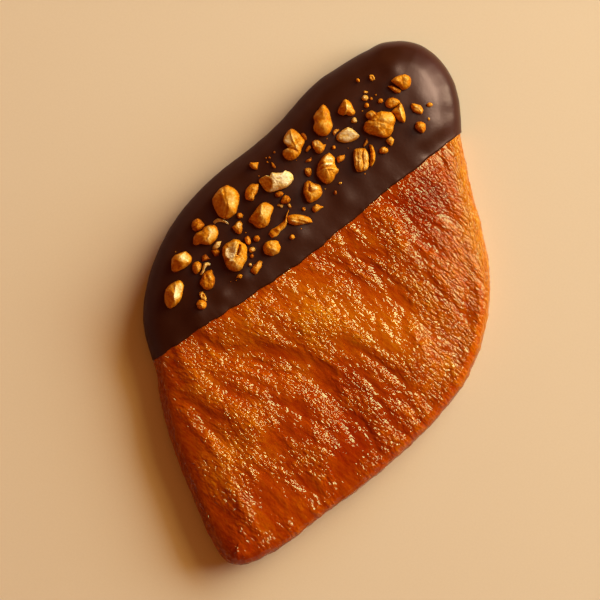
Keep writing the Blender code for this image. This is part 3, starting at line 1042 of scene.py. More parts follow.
def thin_ridge(tree, field, width):
    """1 on the lines where a noise crosses its middle, 0 away from them."""
    off = math_node(tree, "ABSOLUTE", math_node(tree, "SUBTRACT", field, 0.5))
    return ranged(tree, off, 0.0, width, 1.0, 0.0, "SMOOTHSTEP")


def ranged(tree, value, a, b, to_a, to_b, kind="LINEAR"):
    n = tree.nodes.new("ShaderNodeMapRange")
    n.interpolation_type = kind
    tree.links.new(value, n.inputs["Value"])
    for key, v in (("From Min", a), ("From Max", b), ("To Min", to_a), ("To Max", to_b)):
        n.inputs[key].default_value = v
    return n.outputs[0]


def crust_material():
    mat, tree, shader = material("glazed_crust")
    grain_v = attribute(tree, "grain", "Vector")
    rim_v = attribute(tree, "rim", "Vector")
    raised = attribute(tree, "raised")
    lively = attribute(tree, "lively")
    side = attribute(tree, "side")
    bake = attribute(tree, "bake")

    def both(face, rim, detail, rough, twist=0.0):
        """A noise that lies with the grain on the face and along the rim on the side."""
        return blend(tree, side, noise(tree, grain_v, (*face, 1), detail, rough, twist), noise(tree, rim_v, (*rim, 1), detail, rough, twist))

    cell_v, cell_r = cells(tree, grain_v, (0.5, 1.05, 1), 0.2), cells(tree, rim_v, (0.62, 1.05, 1), 0.2)
    cell = blend(tree, side, cell_v, cell_r)
    long = both((0.38, 0.78), (0.2, 0.9), 1.0, 0.5, 1.0)
    short = both((1.0, 1.45), (0.8, 1.6), 0.0, 0.5, 0.5)
    height = add_scaled(tree, short, 0.32, add_scaled(tree, cell, 0.5, math_node(tree, "MULTIPLY", long, 0.65)))
    mask = ranged(tree, lively, 0.1, 0.85, 0.16, 1.0, "SMOOTHSTEP")

    streaks = both((0.07, 0.36), (0.06, 0.7), 4.0, 0.6)
    fine = both((0.32, 1.25), (0.42, 1.5), 3.0, 0.55)
    # raised folds get a lighter tone and the valleys between them a darker one: painted shade in the valleys
    tone = add_scaled(tree, raised, 0.2, bake)
    tone = add_scaled(tree, math_node(tree, "SUBTRACT", streaks, 0.5), add_scaled(tree, side, 0.45, 0.42), tone)
    tone = add_scaled(tree, math_node(tree, "SUBTRACT", fine, 0.5), add_scaled(tree, side, 0.4, 0.55), tone)
    # the dents between the little glaze cells get a darker tone and the cell tops a lighter one: painted shade in the
    # dents
    tone = add_scaled(tree, math_node(tree, "MULTIPLY", math_node(tree, "SUBTRACT", height, 0.76), mask), 0.55, tone)
    colour = ramp(
        tree,
        tone,
        [
            (0.0, (0.235, 0.0120, 0.0)),
            (0.22, (0.325, 0.0255, 0.0)),
            (0.45, (0.425, 0.0570, 0.0002)),
            (0.68, (0.540, 0.1200, 0.0008)),
            (0.88, (0.610, 0.2050, 0.0030)),
            (1.0, (0.700, 0.3200, 0.0300)),
        ],
    )
    golden = ramp(
        tree,
        tone,
        [
            (0.2, (0.290, 0.0480, 0.0003)),
            (0.45, (0.430, 0.1150, 0.0025)),
            (0.75, (0.520, 0.1950, 0.0100)),
        ],
    )
    # blend toward the golden side colour, painted stronger where the side faces the light: partly painted light
    colour = mix(tree, attribute(tree, "side_gold_and_painted_light"), colour, golden)
    tree.links.new(colour, shader.inputs["Base Color"])
    # under the glaze the crumb only scatters light; the glaze has the shine and the fine wrinkles
    shader.inputs["Roughness"].default_value = 0.6
    shader.inputs["Specular IOR Level"].default_value = 0.0
    shader.inputs["Coat Weight"].default_value = 0.85
    shader.inputs["Coat Roughness"].default_value = 0.1
    shader.inputs["Coat IOR"].default_value = 1.42
    height = math_node(tree, "MULTIPLY", height, math_node(tree, "MULTIPLY", mask, add_scaled(tree, side, 0.5, 1.0)))
    for distance, socket in ((0.00076, "Coat Normal"), (0.0003, "Normal")):
        bump = node(tree, "ShaderNodeBump", {"Height": height, "Strength": 1.0, "Distance": distance})
        tree.links.new(bump.outputs[0], shader.inputs[socket])
    return mat


def chocolate_material():
    mat, tree, shader = material("dark_chocolate")
    where = node(tree, "ShaderNodeTexCoord").outputs["Object"]
    cloud = node(tree, "ShaderNodeTexNoise", {"Vector": where, "Scale": 60.0, "Detail": 4.0, "Roughness": 0.55}).outputs[0]
    speck = node(tree, "ShaderNodeTexNoise", {"Vector": where, "Scale": 900.0, "Detail": 2.0, "Roughness": 0.5}).outputs[0]
    colour = ramp(tree, cloud, [(0.3, (0.026, 0.0062, 0.0010)), (0.7, (0.037, 0.0090, 0.0020))])
    tree.links.new(colour, shader.inputs["Base Color"])
    rough = node(tree, "ShaderNodeMapRange", {"Value": cloud, "From Min": 0.3, "From Max": 0.7, "To Min": 0.3, "To Max": 0.36}).outputs[0]
    tree.links.new(add_scaled(tree, attribute(tree, "shaded"), 0.35, rough), shader.inputs["Roughness"])
    shader.inputs["Specular IOR Level"].default_value = 0.5
    shader.inputs["Specular Tint"].default_value = (1.0, 0.49, 0.84, 1)
    bump = node(tree, "ShaderNodeBump", {"Height": speck, "Strength": 0.12, "Distance": 0.0002})
    tree.links.new(bump.outputs[0], shader.inputs["Normal"])
    return mat


crust.data.materials.append(crust_material())
coat_piece.data.materials.append(chocolate_material())
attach(crust, "root")
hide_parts("pastry")
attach(coat_piece, "root")
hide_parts("chocolate")

def surface(xy):
    """Height of the chocolate's skin."""
    xy = np.atleast_2d(xy)
    d = into_dip(xy)
    s, inside = nearest_edge(xy)
    return top(xy, from_rim(xy)) + coat(d) + coat_relief(xy, s, inside, d)


# ---------------------------------------------------------------- nut pieces
SUNK = 0.35


def rounded(points, spacing, soften):
    """The closed outline as evenly spaced points, its corners softened over a length in mm."""
    p = np.vstack([points, points[:1]])
    t = np.concatenate([[0], np.cumsum(np.linalg.norm(np.diff(p, axis=0), axis=1))])
    n = max(48, int(t[-1] / 0.08))
    x = np.linspace(0, t[-1], n, endpoint=False)
    line = np.stack([np.interp(x, t, p[:, i]) for i in (0, 1)], 1)
    freq = np.fft.fftfreq(n, t[-1] / n)
    keep = np.exp(-2 * (math.pi * freq * soften) ** 2)[:, None]
    line = np.real(np.fft.ifft(np.fft.fft(line, axis=0) * keep, axis=0))
    want = max(28, int(t[-1] / spacing))
    x2 = np.linspace(0, n, want, endpoint=False)
    closed = np.vstack([line, line[:1]])
    return np.stack([np.interp(x2, np.arange(n + 1), closed[:, i]) for i in (0, 1)], 1)


def soft_min(a, b, r):
    h = np.clip(0.5 + 0.5 * (b - a) / r, 0, 1)
    return b * (1 - h) + a * h - r * h * (1 - h)


def kernel(outline, high, faces=(), lumps=(), lines=(), tone=0.5, full=2.6, seed=0, rough=0.1, soften=0.3, lift=0.0,
           middle=None, scale=0.26):
    """A broken piece of nut inside an outline. faces are cut planes: (angle, slope in degrees, distance from the
    middle at which the plane is at full height, tone); lumps: (x, y, radius, height, tone); lines: (points, width,
    height, tone). Tones run from 0 for the dark skin to 1 for cream; on many pieces they also carry painted light
    and shade, lighter on faces that tilt toward the light and darker on faces that tilt away and in grooves and pits.
    Gives points, faces and tones."""
    edge = rounded(rows(outline), scale, soften)
    if ((edge - np.roll(edge, -1, 0)) @ np.array([[0, 1], [-1, 0]]) * edge).sum() < 0:
        edge = edge[::-1]
    area2 = 0.5 * (edge[:, 0] * np.roll(edge[:, 1], -1) - edge[:, 1] * np.roll(edge[:, 0], -1)).sum()
    if area2 < 0:
        edge = edge[::-1]
    n = len(edge)
    mid = edge.mean(0) if middle is None else np.array(row(*middle))
    noise_a, noise_b = N[seed % 16], N[(seed + 5) % 16]
    wide = math.sqrt(abs(area2) / math.pi)

    # shares of the way in from the outline, and the rings under the widest one
    up = np.sin(np.linspace(0, math.pi / 2, max(9, int(wide / scale * 1.15)))[1:])  # 0..1 away from the edge
    rings, depth = [], []
    base = surface(mid)[0]
    grad = np.array([surface(mid + np.array(e))[0] - base for e in ((0.5, 0), (0, 0.5))]) / 0.5
    below = [(0.80, -0.95), (0.88, -0.75), (0.95, -0.45), (0.99, -0.2)]
    waist = min(0.42 * high, 1.6)
    points, share = [], []
    for k, drop in below:
        ring = mid + (edge - mid) * k
        points.append(ring)
        share.append(np.full(n, drop))
    for r in np.concatenate([[0.0], up[:-1]]):
        points.append(mid + (edge - mid) * (1 - r))
        share.append(np.full(n, r))
    xy = np.vstack(points + [mid[None]])
    share = np.concatenate(share + [[1.0]])
    rel = xy - mid
    wob = noise_a(xy[:, 0] / (0.9 * wide + 0.6), xy[:, 1] / (0.9 * wide + 0.6) + seed) * 0.5
    wob2 = noise_b(xy[:, 0] / 0.75, xy[:, 1] / 0.75 + seed)
    inwards = np.clip(share, 0, 1)
    dome = (1 - (1 - inwards) ** full) ** (1 / 2.0)
    z = waist + (high - waist) * dome
    colour = np.full(len(xy), tone, float)
    for angle, slope, far, t in faces:
        plane = high - math.tan(math.radians(slope)) * (rel @ direction(angle) - far)
        cut = 1 / (1 + np.exp(np.clip((plane - z) / 0.12, -30, 30)))
        colour = colour * (1 - cut) + t * cut
        z = soft_min(z, plane, 0.22)
    inside = smooth(inwards * wide / 0.7)
    z = z + (wob * 0.22 * high + wob2 * rough) * inside
    for x, y, radius, height, t in lumps:
        near = np.exp(-(((xy - np.array(row(x, y))) ** 2).sum(1) / (radius * PX) ** 2))
        z = z + height * near * inside
        colour = colour + t * near
    for line, width, height, t in lines:
        near = np.exp(-((line_distance(xy, rows(line)) / (width * PX)) ** 2))
        z = z + height * near * inside
        colour = colour + t * near
    z = np.maximum(z, waist * (0.55 + 0.45 * smooth(inwards * 4)))
    z = np.where(share < 0, waist * (1 + share), z)
    z[: n] = np.minimum(z[: n], 0.0)
    height = base + rel @ grad - SUNK + lift + z
    colour = colour + 0.16 * wob2 + 0.12 * noise_b(xy[:, 0] / 2.1, xy[:, 1] / 2.1 + 3.3)
    # each piece is painted darker toward its outline, partly its darker skin there and partly painted contact shade,
    # and darker again below its widest ring as painted shade underneath
    colour = colour + 0.06 - 0.3 * np.exp(-inwards * wide / 0.5) - 0.25 * (share < 0)
    pts = np.column_stack([xy, height])
    m = len(points)
    ids = np.arange(m * n).reshape(m, n)
    quads = np.vstack([np.stack([a_, np.roll(a_, -1), np.roll(b_, -1), b_], 1) for a_, b_ in zip(ids[:-1], ids[1:])])
    cap = np.stack([ids[-1], np.roll(ids[-1], -1), np.full(n, m * n)], 1)
    under = np.vstack([pts, [[mid[0], mid[1], pts[:n, 2].mean()]]])
    floor_cap = np.stack([np.roll(ids[0], -1), ids[0], np.full(n, m * n + 1)], 1)
    colour = np.concatenate([colour, [tone]])
    return under, quads, np.vstack([cap, floor_cap]), np.clip(colour, 0, 1)


def strip(left, right, high, tone=0.5, seed=0, lift=0.0, curl=0.0, scale=0.26, tones=(0.0, 0.0)):
    """A curved splinter between two sides that run the same way. tones add to the left and the right side."""
    a, b = rows(left), rows(right)
    length = max(np.linalg.norm(np.diff(a, axis=0), axis=1).sum(), np.linalg.norm(np.diff(b, axis=0), axis=1).sum())
    n = max(14, int(length / scale))
    a, b = open_curve(a, n), open_curve(b, n)
    m = 14
    turn = np.linspace(0, 2 * math.pi, m, endpoint=False)
    mid, half = (a + b) / 2, (a - b) / 2
    base = surface(mid.mean(0))[0]
    grad = np.array([surface(mid.mean(0) + np.array(e))[0] - base for e in ((0.5, 0), (0, 0.5))]) / 0.5
    t = np.linspace(0, 1, n)
    swell = np.sqrt(np.clip(1 - np.abs(2 * t - 1) ** 3, 0.02, 1))
    pts, colour = [], []
    for i in range(n):
        ring = mid[i] + np.cos(turn)[:, None] * half[i]
        h = high * swell[i] * (0.9 + 0.25 * N[seed % 16](i / 7.0, seed))
        z = np.where(np.sin(turn) > 0, 0.35 * h + 0.65 * h * np.abs(np.sin(turn)) ** 0.9, 0.35 * h * (1 - np.abs(np.sin(turn))))
        z = z + lift + curl * high * (t[i] - 0.5) ** 2 * 4
        z = z + 0.12 * N[(seed + 3) % 16](ring[:, 0] / 0.9, ring[:, 1] / 0.9) * (np.sin(turn) > -0.1)
        pts.append(np.column_stack([ring, base + (ring - mid.mean(0)) @ grad - SUNK * 0.8 + z]))
        c = tone + tones[0] * np.clip(np.cos(turn), 0, 1) + tones[1] * np.clip(-np.cos(turn), 0, 1)
        colour.append(c + 0.16 * N[(seed + 7) % 16](ring[:, 0] / 1.1, ring[:, 1] / 1.1))
    ids = np.arange(n * m).reshape(n, m)
    quads = np.vstack([np.stack([p, q, np.roll(q, -1), np.roll(p, -1)], 1) for p, q in zip(ids[:-1], ids[1:])])
    pts.append(np.array([pts[0].mean(0), pts[-1].mean(0)]))
    colour.append(np.array([tone, tone]))
    ends = np.vstack([
        np.stack([ids[0], np.roll(ids[0], -1), np.full(m, n * m)], 1),
        np.stack([np.roll(ids[-1], -1), ids[-1], np.full(m, n * m + 1)], 1),
    ])
    pts = np.vstack(pts)
    # turn the skin outward
    v = pts[quads]
    volume = (np.cross(v[:, 1] - v[:, 0], v[:, 2] - v[:, 0]) * (v[:, 0] - pts.mean(0))).sum()
    if volume < 0:
        quads, ends = quads[:, ::-1], ends[:, ::-1]
    return pts, quads, ends, np.clip(np.concatenate(colour), 0, 1)


def joined(parts):
    pts, quads, tris, tones, start = [], [], [], [], 0
    for p, q, t, c in parts:
        pts.append(p)
        quads.append(q + start)
        tris.append(t + start)
        tones.append(c)
        start += len(p)
    return np.vstack(pts), np.vstack(quads), np.vstack(tris), np.concatenate(tones)


def nut_material():
    mat, tree, shader = material("roasted_nut")
    tone = attribute(tree, "tone")
    where = node(tree, "ShaderNodeTexCoord").outputs["Object"]
    cloud = noise(tree, where, (600, 600, 600), 2.0, 0.5)
    vein = noise(tree, where, (1500, 1500, 1500), 2.0, 0.5)
    t = add_scaled(tree, math_node(tree, "SUBTRACT", cloud, 0.5), 0.5, tone)
    t = add_scaled(tree, math_node(tree, "SUBTRACT", vein, 0.5), 0.3, t)
    colour = ramp(
        tree,
        t,
        [
            (0.0, (0.290, 0.0640, 0.0012)),
            (0.2, (0.480, 0.1350, 0.0025)),
            (0.42, (0.620, 0.2250, 0.0040)),
            (0.62, (0.690, 0.3500, 0.0450)),
            (0.82, (0.790, 0.5400, 0.1700)),
            (1.0, (0.880, 0.7200, 0.4200)),
        ],
    )
    tree.links.new(colour, shader.inputs["Base Color"])
    tree.links.new(ranged(tree, cloud, 0.3, 0.7, 0.42, 0.54), shader.inputs["Roughness"])
    shader.inputs["Specular IOR Level"].default_value = 0.09
    bump = node(tree, "ShaderNodeBump", {"Height": add_scaled(tree, vein, 0.5, cloud), "Strength": 0.8, "Distance": 0.0003})
    tree.links.new(bump.outputs[0], shader.inputs["Normal"])
    return mat


NUT = nut_material()
# The face tones of the pieces and crumbs below are partly painted light: the face that tilts toward the light (angles
# near 0 to 60) mostly gets a lighter tone, the face that tilts away (near 180 to 225) a darker one, and grooves and
# pits get darker tones as painted shade.
PIECES = {
    "nut_01": [kernel(
        [(227, 185.3), (233, 188), (237.5, 191.5), (240, 196), (239.7, 202), (238, 208), (236.7, 213.5), (232, 217.5),
         (227.3, 220), (223, 219), (218.5, 216), (215.5, 210.5), (213, 204.5), (212.5, 199.5), (215.5, 194.5),
         (219, 190), (223, 187.5)],
        6.1, faces=[(200, 34, -0.6, 0.34), (-5, 22, 0.7, 0.66), (60, 40, 2.6, 0.8), (-80, 35, 3.2, 0.5)],
        lines=[([(222, 190), (223, 197), (226, 204), (225, 212), (224, 218)], 1.3, 0.3, 0.12)],
        tone=0.45, seed=1)],
    "nut_02": [kernel(
        [(204, 228), (209.3, 225.3), (215.3, 225.3), (217.7, 228), (219, 233.3), (218, 237.3), (215.3, 241.3),
         (210.7, 245.3), (206, 245.3), (201, 244), (197, 246), (193.5, 244.5), (193.5, 238.5), (196, 234), (200, 231.5),
         (202.7, 230.7)],
        4.6, faces=[(0, 30, 0.9, 0.62), (210, 26, 0.9, 0.3), (100, 36, 1.6, 0.35)],
        lumps=[(206, 233, 3.2, 0.5, -0.05)], lines=[([(208, 227), (212, 233), (209, 239)], 1.2, 0.25, 0.3)],
        tone=0.4, seed=2)],
    "nut_03": [kernel(
        [(197.3, 218.7), (200.5, 219.5), (203, 222.3), (205.5, 225), (203, 229), (200, 231), (196, 232.3), (193, 230),
         (191.7, 225.5), (193.3, 221.3)],
        3.2, lines=[([(194, 228), (198, 224), (202, 223)], 1.1, -0.5, -0.15)], tone=0.3, seed=3)],
    "nut_04": [kernel(
        [(234, 239.3), (239.3, 240), (242.7, 243), (246, 244.7), (247.7, 249.3), (247.3, 254.7), (247.3, 260),
         (244.7, 264), (242.7, 268.7), (239.3, 271.3), (234.7, 272), (230, 270), (226.7, 266.7), (224.7, 260),
         (222.7, 255.3), (222.7, 248), (226, 244), (230, 242)],
        5.5, faces=[(172, 17, 0.0, 1.25), (10, 20, 1.6, 0.45), (-80, 30, 2.6, 0.5)],
        lines=[([(240.2, 245.5), (239.2, 250), (237.8, 254.5)], 1.0, -1.5, -0.75), ([(226, 261), (233, 259), (240, 257)], 1.2, -0.4, -0.3),
               ([(229, 246), (235, 243), (240, 243)], 1.2, 0.4, 0.1), ([(226, 250), (226, 256), (230, 260)], 1.3, 0.35, -0.1)],
        lumps=[(243, 250, 3.4, 0.6, -0.1), (236, 266, 3.5, 0.5, 0.15), (231, 252, 3.2, -0.7, 0.15)],
        tone=0.5, seed=4, rough=0.16)],
    "nut_05": [kernel(
        [(186, 251.3), (190, 254), (192.7, 258), (192, 262), (189.3, 265.3), (184.7, 268.7), (179.3, 271.3),
         (174.3, 272.7), (172, 270), (171.7, 264), (172.3, 258.7), (175.3, 255.3), (180, 253.3)],
        4.8, faces=[(50, 32, 0.4, 0.68), (225, 28, 0.3, 0.3)],
        lines=[([(178, 254.5), (184, 258.5), (191, 263)], 1.1, 0.25, 0.25)], tone=0.42, seed=5)],
    "nut_06": [kernel(
        [(180.7, 280.3), (183.3, 282.7), (184.7, 286), (183.7, 291.3), (182.7, 296.7), (180, 302), (176, 306),
         (171, 309), (167.3, 306.7), (165.3, 302), (165, 295.3), (166, 290), (169.3, 285.3), (174.7, 282), (178, 280.7)],
        5.0, faces=[(5, 30, 0.2, 0.78), (195, 30, 0.2, 0.32), (-100, 34, 2.6, 0.4)],
        lines=[([(176, 282), (177, 290), (175, 296), (176, 303)], 1.1, 0.25, 0.2)], tone=0.45, seed=6)],
    "nut_07": [
        kernel(
            [(212.7, 269.3), (213.3, 273.3), (215.7, 278), (215.3, 283.3), (213.3, 288), (209.3, 290.3), (204.7, 289.3),
             (202, 286), (200, 284), (200.7, 280.7), (202.7, 277.3), (203.3, 274), (206.7, 271.3)],
            4.0, faces=[(30, 22, 0.8, 0.5)],
            lumps=[(206, 284, 2.6, 0.5, 0.1), (211, 279, 2.6, 0.4, 0.05), (207, 277, 1.6, -0.5, -0.2)], tone=0.32, seed=7,
            rough=0.2),
        strip([(211, 263.5), (206.5, 262.5), (203.5, 266), (202.8, 270), (200.3, 274.5)],
              [(210.5, 266), (207.5, 266.5), (205.8, 268.5), (205, 271.5), (202, 275.5)], 1.6, tone=0.8, seed=3, lift=1.2),
    ],
    "nut_08": [kernel(
        [(265.6, 202.5), (270, 204.4), (273.8, 207.2), (273.1, 211.3), (270.6, 217.5), (270, 221.9), (268.1, 225.6),
         (264.4, 228.1), (259.4, 229.1), (255.6, 227.5), (252.5, 223.8), (248.8, 222.5), (249.1, 219.4), (251.9, 215.6),
         (255.6, 210.6), (258.8, 206.3), (261.9, 203.4)],
        5.2, faces=[(20, 26, 0.5, 0.62), (190, 30, 0.3, 0.34), (-85, 34, 2.8, 0.45)],
        lines=[([(262, 205), (261, 213), (258, 222)], 1.1, 0.3, 0.2), ([(251, 221), (257, 224), (263, 226)], 1.0, -0.3, -0.15)],
        tone=0.45, seed=8)],
    "nut_09": [kernel(
        [(249.3, 186), (252, 184.3), (259.3, 184.5), (258.7, 190), (257.3, 194), (254.5, 197.3), (254.3, 200.7),
         (252, 201.7), (246.7, 200.7), (245, 196), (246, 190)],
        3.6, faces=[(10, 32, 0.7, 0.62), (190, 25, 0.8, 0.3)], lumps=[(250, 199, 2.5, 0.3, 0.35)], tone=0.38, seed=9)],
    "nut_10": [kernel(
        [(258.8, 180), (263.1, 177.5), (266.9, 175.6), (269.1, 178.1), (270.6, 175), (271.9, 172.8), (275, 173.4),
         (280, 173.4), (283.8, 173.1), (285, 170.6), (287.5, 171.9), (290.6, 172.8), (293.4, 176.3), (293.8, 180),
         (290.6, 185), (286.9, 188.1), (281.9, 190), (278.8, 190.6), (275.6, 191.9), (270, 193.1), (266.3, 191.9),
         (263.1, 188.1), (260.6, 184.4), (258.8, 181.9)],
        4.6, faces=[(25, 9, 1.0, 1.2), (185, 40, 1.6, 0.5), (-75, 38, 2.1, 0.8), (-50, 34, 3.1, 0.85)],
        lines=[([(269.8, 177), (271.5, 184), (270, 190)], 0.9, -0.3, -0.3), ([(275, 181), (282, 179), (290, 178)], 0.9, -0.05, -0.08),
               ([(277, 187), (284, 185.5), (290, 183)], 1.0, 0.0, -0.1)],
        tone=0.9, seed=10, full=3.4, rough=0.08)],
    "nut_11": [
        kernel(
            [(291.6, 129.1), (295, 130.6), (298.8, 133.8), (302.5, 137.5), (305, 141.6), (303.8, 145.6), (301.6, 149.4),
             (300.9, 153.8), (298.1, 157.5), (294.4, 160.3), (288.8, 161.3), (285, 159.4), (282.8, 155.6), (282.8, 151.3),
             (286.3, 150.3), (288.4, 149.4), (286.9, 146.3), (283.8, 143.4), (283.1, 140.6), (285, 135.6), (288.1, 131.3)],
            4.4, faces=[(165, 30, 0.9, 0.82), (0, 30, 1.4, 0.6), (-100, 30, 3.4, 0.4)],
            lines=[([(291, 131), (292, 139), (296, 147)], 1.1, 0.3, 0.15), ([(288, 148.5), (293, 150), (297, 152)], 1.2, -0.45, -0.2)],
            tone=0.42, seed=11, middle=(294, 146)),
        kernel([(300.6, 134), (303.8, 133.4), (306.3, 136.3), (307.2, 140), (305.9, 141.9), (302.5, 139)], 2.4, tone=0.25,
               seed=3),
    ],
    "nut_12": [kernel(
        [(323.1, 105), (326.3, 107.5), (329.4, 111.9), (330.3, 116.9), (331.3, 121.3), (332.8, 126.3), (331.6, 130),
         (329.4, 134.4), (326.3, 136.9), (322.5, 137.5), (317.5, 135.6), (313.8, 131.9), (313.1, 128.1), (314.4, 123.8),
         (313.1, 118.1), (315, 113.8), (318.8, 110), (320.6, 106.9)],
        4.8, lumps=[(322, 128, 5.5, 0.5, 0.12), (322, 113, 4.2, 0.4, -0.02)],
        lines=[([(314, 120.5), (322, 121.5), (331, 120)], 2.4, -0.35, -0.1)], faces=[(15, 28, 2.2, 0.5)], tone=0.4, seed=12,
        rough=0.05)],
    "nut_13": [kernel(
        [(345.3, 100), (348.8, 101.9), (351.3, 105), (353.1, 109.4), (355.3, 113.1), (353.4, 116.9), (348.1, 116.9),
         (345.3, 115), (343.1, 116.9), (340, 115.6), (337.5, 114.4), (338.1, 110), (340.6, 105.6), (343.1, 101.3)],
        4.0, faces=[(25, 28, 0.7, 0.6), (200, 30, 0.6, 0.32)], lines=[([(345.5, 101), (346.5, 108), (345, 115)], 1.0, 0.25, 0.15)],
        tone=0.42, seed=13)],
    "nut_14": [kernel(
        [(347.5, 127.8), (351.9, 129.7), (355.6, 132.5), (359.7, 136.3), (357.8, 139.4), (353.8, 141.6), (349.4, 143.1),
         (344.4, 143.8), (339.4, 142.8), (336.3, 140.6), (335.9, 137.5), (338.8, 133.8), (342.5, 130.6)],
        3.0, faces=[(80, 5, 0.9, 1.05), (-85, 30, 1.9, 0.75)],
        lines=[([(339, 138), (345, 136.5), (353, 137)], 0.8, -0.03, -0.16), ([(352, 130), (356, 134), (358, 137)], 1.0, 0.08, 0.1),
               ([(342, 133), (346, 132), (350, 134)], 0.7, -0.03, -0.12)],
        tone=0.85, seed=14, full=3.8, rough=0.05)],
    "nut_15": [kernel(
        [(328.8, 153.4), (331.9, 155.6), (335, 158.8), (334.4, 163.8), (336.6, 168.8), (339.1, 170), (337.5, 173.8),
         (335, 176.3), (333.8, 180.6), (330, 184.1), (326.3, 185), (322.5, 183.1), (319.4, 180), (316.6, 175.6),
         (316.9, 169.4), (318.1, 164.4), (320.6, 160), (323.8, 156.3)],
        5.3, faces=[(75, 26, 0.8, 0.78), (0, 32, 1.6, 0.5)],
        lines=[([(321, 163), (326, 160), (331, 160)], 0.9, 0.4, 0.2), ([(320, 168), (326, 165), (332, 165)], 0.9, 0.45, 0.22),
               ([(320, 172.5), (326, 170), (333, 170)], 0.9, 0.35, 0.1), ([(320, 165.5), (326, 162.5), (331, 162.5)], 0.8, -0.4, -0.25),
               ([(320, 170.3), (326, 167.5), (333, 167.5)], 0.8, -0.4, -0.25)],
        lumps=[(326, 178, 5, 0.4, -0.05)], tone=0.42, seed=15, rough=0.14)],
    "nut_16": [kernel(
        [(311.9, 142.5), (314.4, 140.6), (318.1, 140.6), (320.6, 142.5), (323.1, 145.6), (326.3, 145), (325, 148.1),
         (323.8, 151.3), (320.6, 154.7), (316.9, 154.4), (315, 151.3), (312.5, 148.1)],
        3.2, faces=[(110, 28, 0.2, 0.78), (-60, 24, 0.6, 0.4)], tone=0.42, seed=16)],
    "nut_17": [kernel(
        [(308.1, 180.6), (312.5, 183.1), (316.3, 184.4), (320, 185.3), (321.3, 188.8), (322.5, 193.1), (320.9, 196.9),
         (317.5, 200), (314.4, 201.9), (310, 203.8), (306.9, 201.9), (305, 197.5), (303.1, 193.1), (303.8, 187.5),
         (305, 183.1)],
        4.7, faces=[(60, 20, 0.6, 0.7), (-60, 26, 1.6, 0.45)],
        lines=[([(309, 185), (309, 191)], 1.1, -0.8, -0.35), ([(311, 193), (316, 191), (321, 192)], 1.0, -0.35, -0.15)],
        lumps=[(315, 189, 3.5, 0.35, 0.2), (311, 198, 4, 0.3, 0)], tone=0.42, seed=17, rough=0.14)],
    "nut_18": [kernel(
        [(354.2, 150), (359.2, 148.8), (365, 149.2), (367.5, 153.3), (368.8, 158.3), (368.8, 165.8), (366.7, 170.8),
         (360.8, 172.9), (356.3, 172.5), (354.2, 166.7), (353.3, 159.2), (353.2, 153.3)],
        3.8, faces=[(0, 34, 1.5, 0.4), (180, 20, 0.4, 0.72)],
        lines=[([(356.8, 152), (357.6, 159), (357, 166), (358.4, 172)], 0.8, -0.2, -0.2),
               ([(362.4, 150), (361.6, 157), (363, 165), (362, 171)], 0.8, -0.3, -0.25),
               ([(366, 153), (366.6, 160), (366, 168)], 0.7, 0.15, 0.15)],
        tone=0.6, seed=18, full=3.4, rough=0.14)],
    "nut_19": [
        strip([(368.6, 145.2), (369.6, 150), (370, 158), (369.8, 163), (368.9, 167)],
              [(372, 145.6), (374, 151), (374.9, 157.5), (373.6, 163.5), (371.2, 167.5)], 3.2, tone=0.38, seed=5),
        kernel([(366.7, 138.8), (367.9, 143.3), (363.3, 148.3), (362.6, 146.5), (363.8, 144.2)], 1.8, tone=0.5, seed=2, soften=0.15),
    ],
    "nut_20": [kernel(
        [(375.8, 114.2), (380.8, 112.1), (386.7, 112.9), (390.8, 113.3), (394.2, 116.7), (395.4, 121.7), (393.3, 126.7),
         (392.5, 131.7), (390, 136.7), (385, 139.2), (380, 138.3), (375, 136.7), (368.3, 135), (364.2, 132.5),
         (362.9, 128.3), (364.6, 123.3), (369.2, 120.4), (365.4, 118.3), (365.4, 114.2), (370.8, 111.3), (374.2, 112.9)],
        5.0, faces=[(50, 34, 2.4, 0.5), (-42, 34, 2.4, 0.36), (-130, 32, 2.2, 0.45), (140, 34, 2.0, 0.5)],
        lumps=[(370, 115.5, 2.4, 0.5, 0.15), (376, 128, 2.8, 0.35, 0.25), (383, 120, 3.0, 0.4, 0.25), (389, 131, 2.8, 0.4, 0.1),
               (379, 134, 2.2, 0.3, 0.15), (371, 131, 2.0, 0.35, 0.15), (391, 120, 2.0, 0.35, 0.25), (384, 127, 1.8, 0.3, 0.2)],
        lines=[([(365.5, 121), (371, 119.8), (375.4, 116), (375.6, 112.5)], 1.1, -0.9, -0.4)],
        tone=0.4, seed=19, rough=0.12, full=3.4)],
    "nut_21": [kernel(
        [(400, 103.3), (402.9, 109.2), (404.6, 115), (405, 120.8), (403.8, 124.2), (399.2, 122.5), (395, 119.2),
         (393.3, 115), (390, 113.3), (393.3, 110), (396.7, 107.5)],
        3.1, faces=[(30, 30, 0.8, 0.6), (210, 28, 0.5, 0.35)], lines=[([(398, 106), (399.5, 113), (402, 121)], 1.0, 0.3, 0.2)],
        tone=0.45, seed=20)],
    "nut_22": [
        kernel([(390, 82.5), (393.3, 79.2), (398.3, 76.7), (404.2, 75.4), (409.2, 77.5), (410.8, 81.7), (409.6, 87.5),
                (405.8, 90.8), (401.7, 91.7), (398.3, 88.3), (394.2, 85.8)],
               4.1, faces=[(40, 24, 1.3, 0.52)], lumps=[(405, 80, 2.6, 0.3, 0.15), (396, 82, 2.2, 0.3, 0.1)], tone=0.38, seed=21),
        kernel([(386.7, 87.1), (391.7, 86.7), (396.7, 89.2), (400.8, 91.7), (399.6, 94.6), (395, 94.2), (390.8, 90.8)], 2.6,
               tone=0.42, seed=22),
    ],
    "nut_23": [kernel(
        [(410.8, 104.2), (415, 105), (420, 106.3), (422.9, 110.8), (421.3, 115.4), (415.8, 114.6), (412.5, 112.5), (410, 107.5)],
        2.3, faces=[(60, 8, 0.0, 0.56)], lines=[([(413, 107), (418, 110), (421, 113)], 0.9, 0.15, 0.2)], tone=0.4, seed=23, full=3.4)],
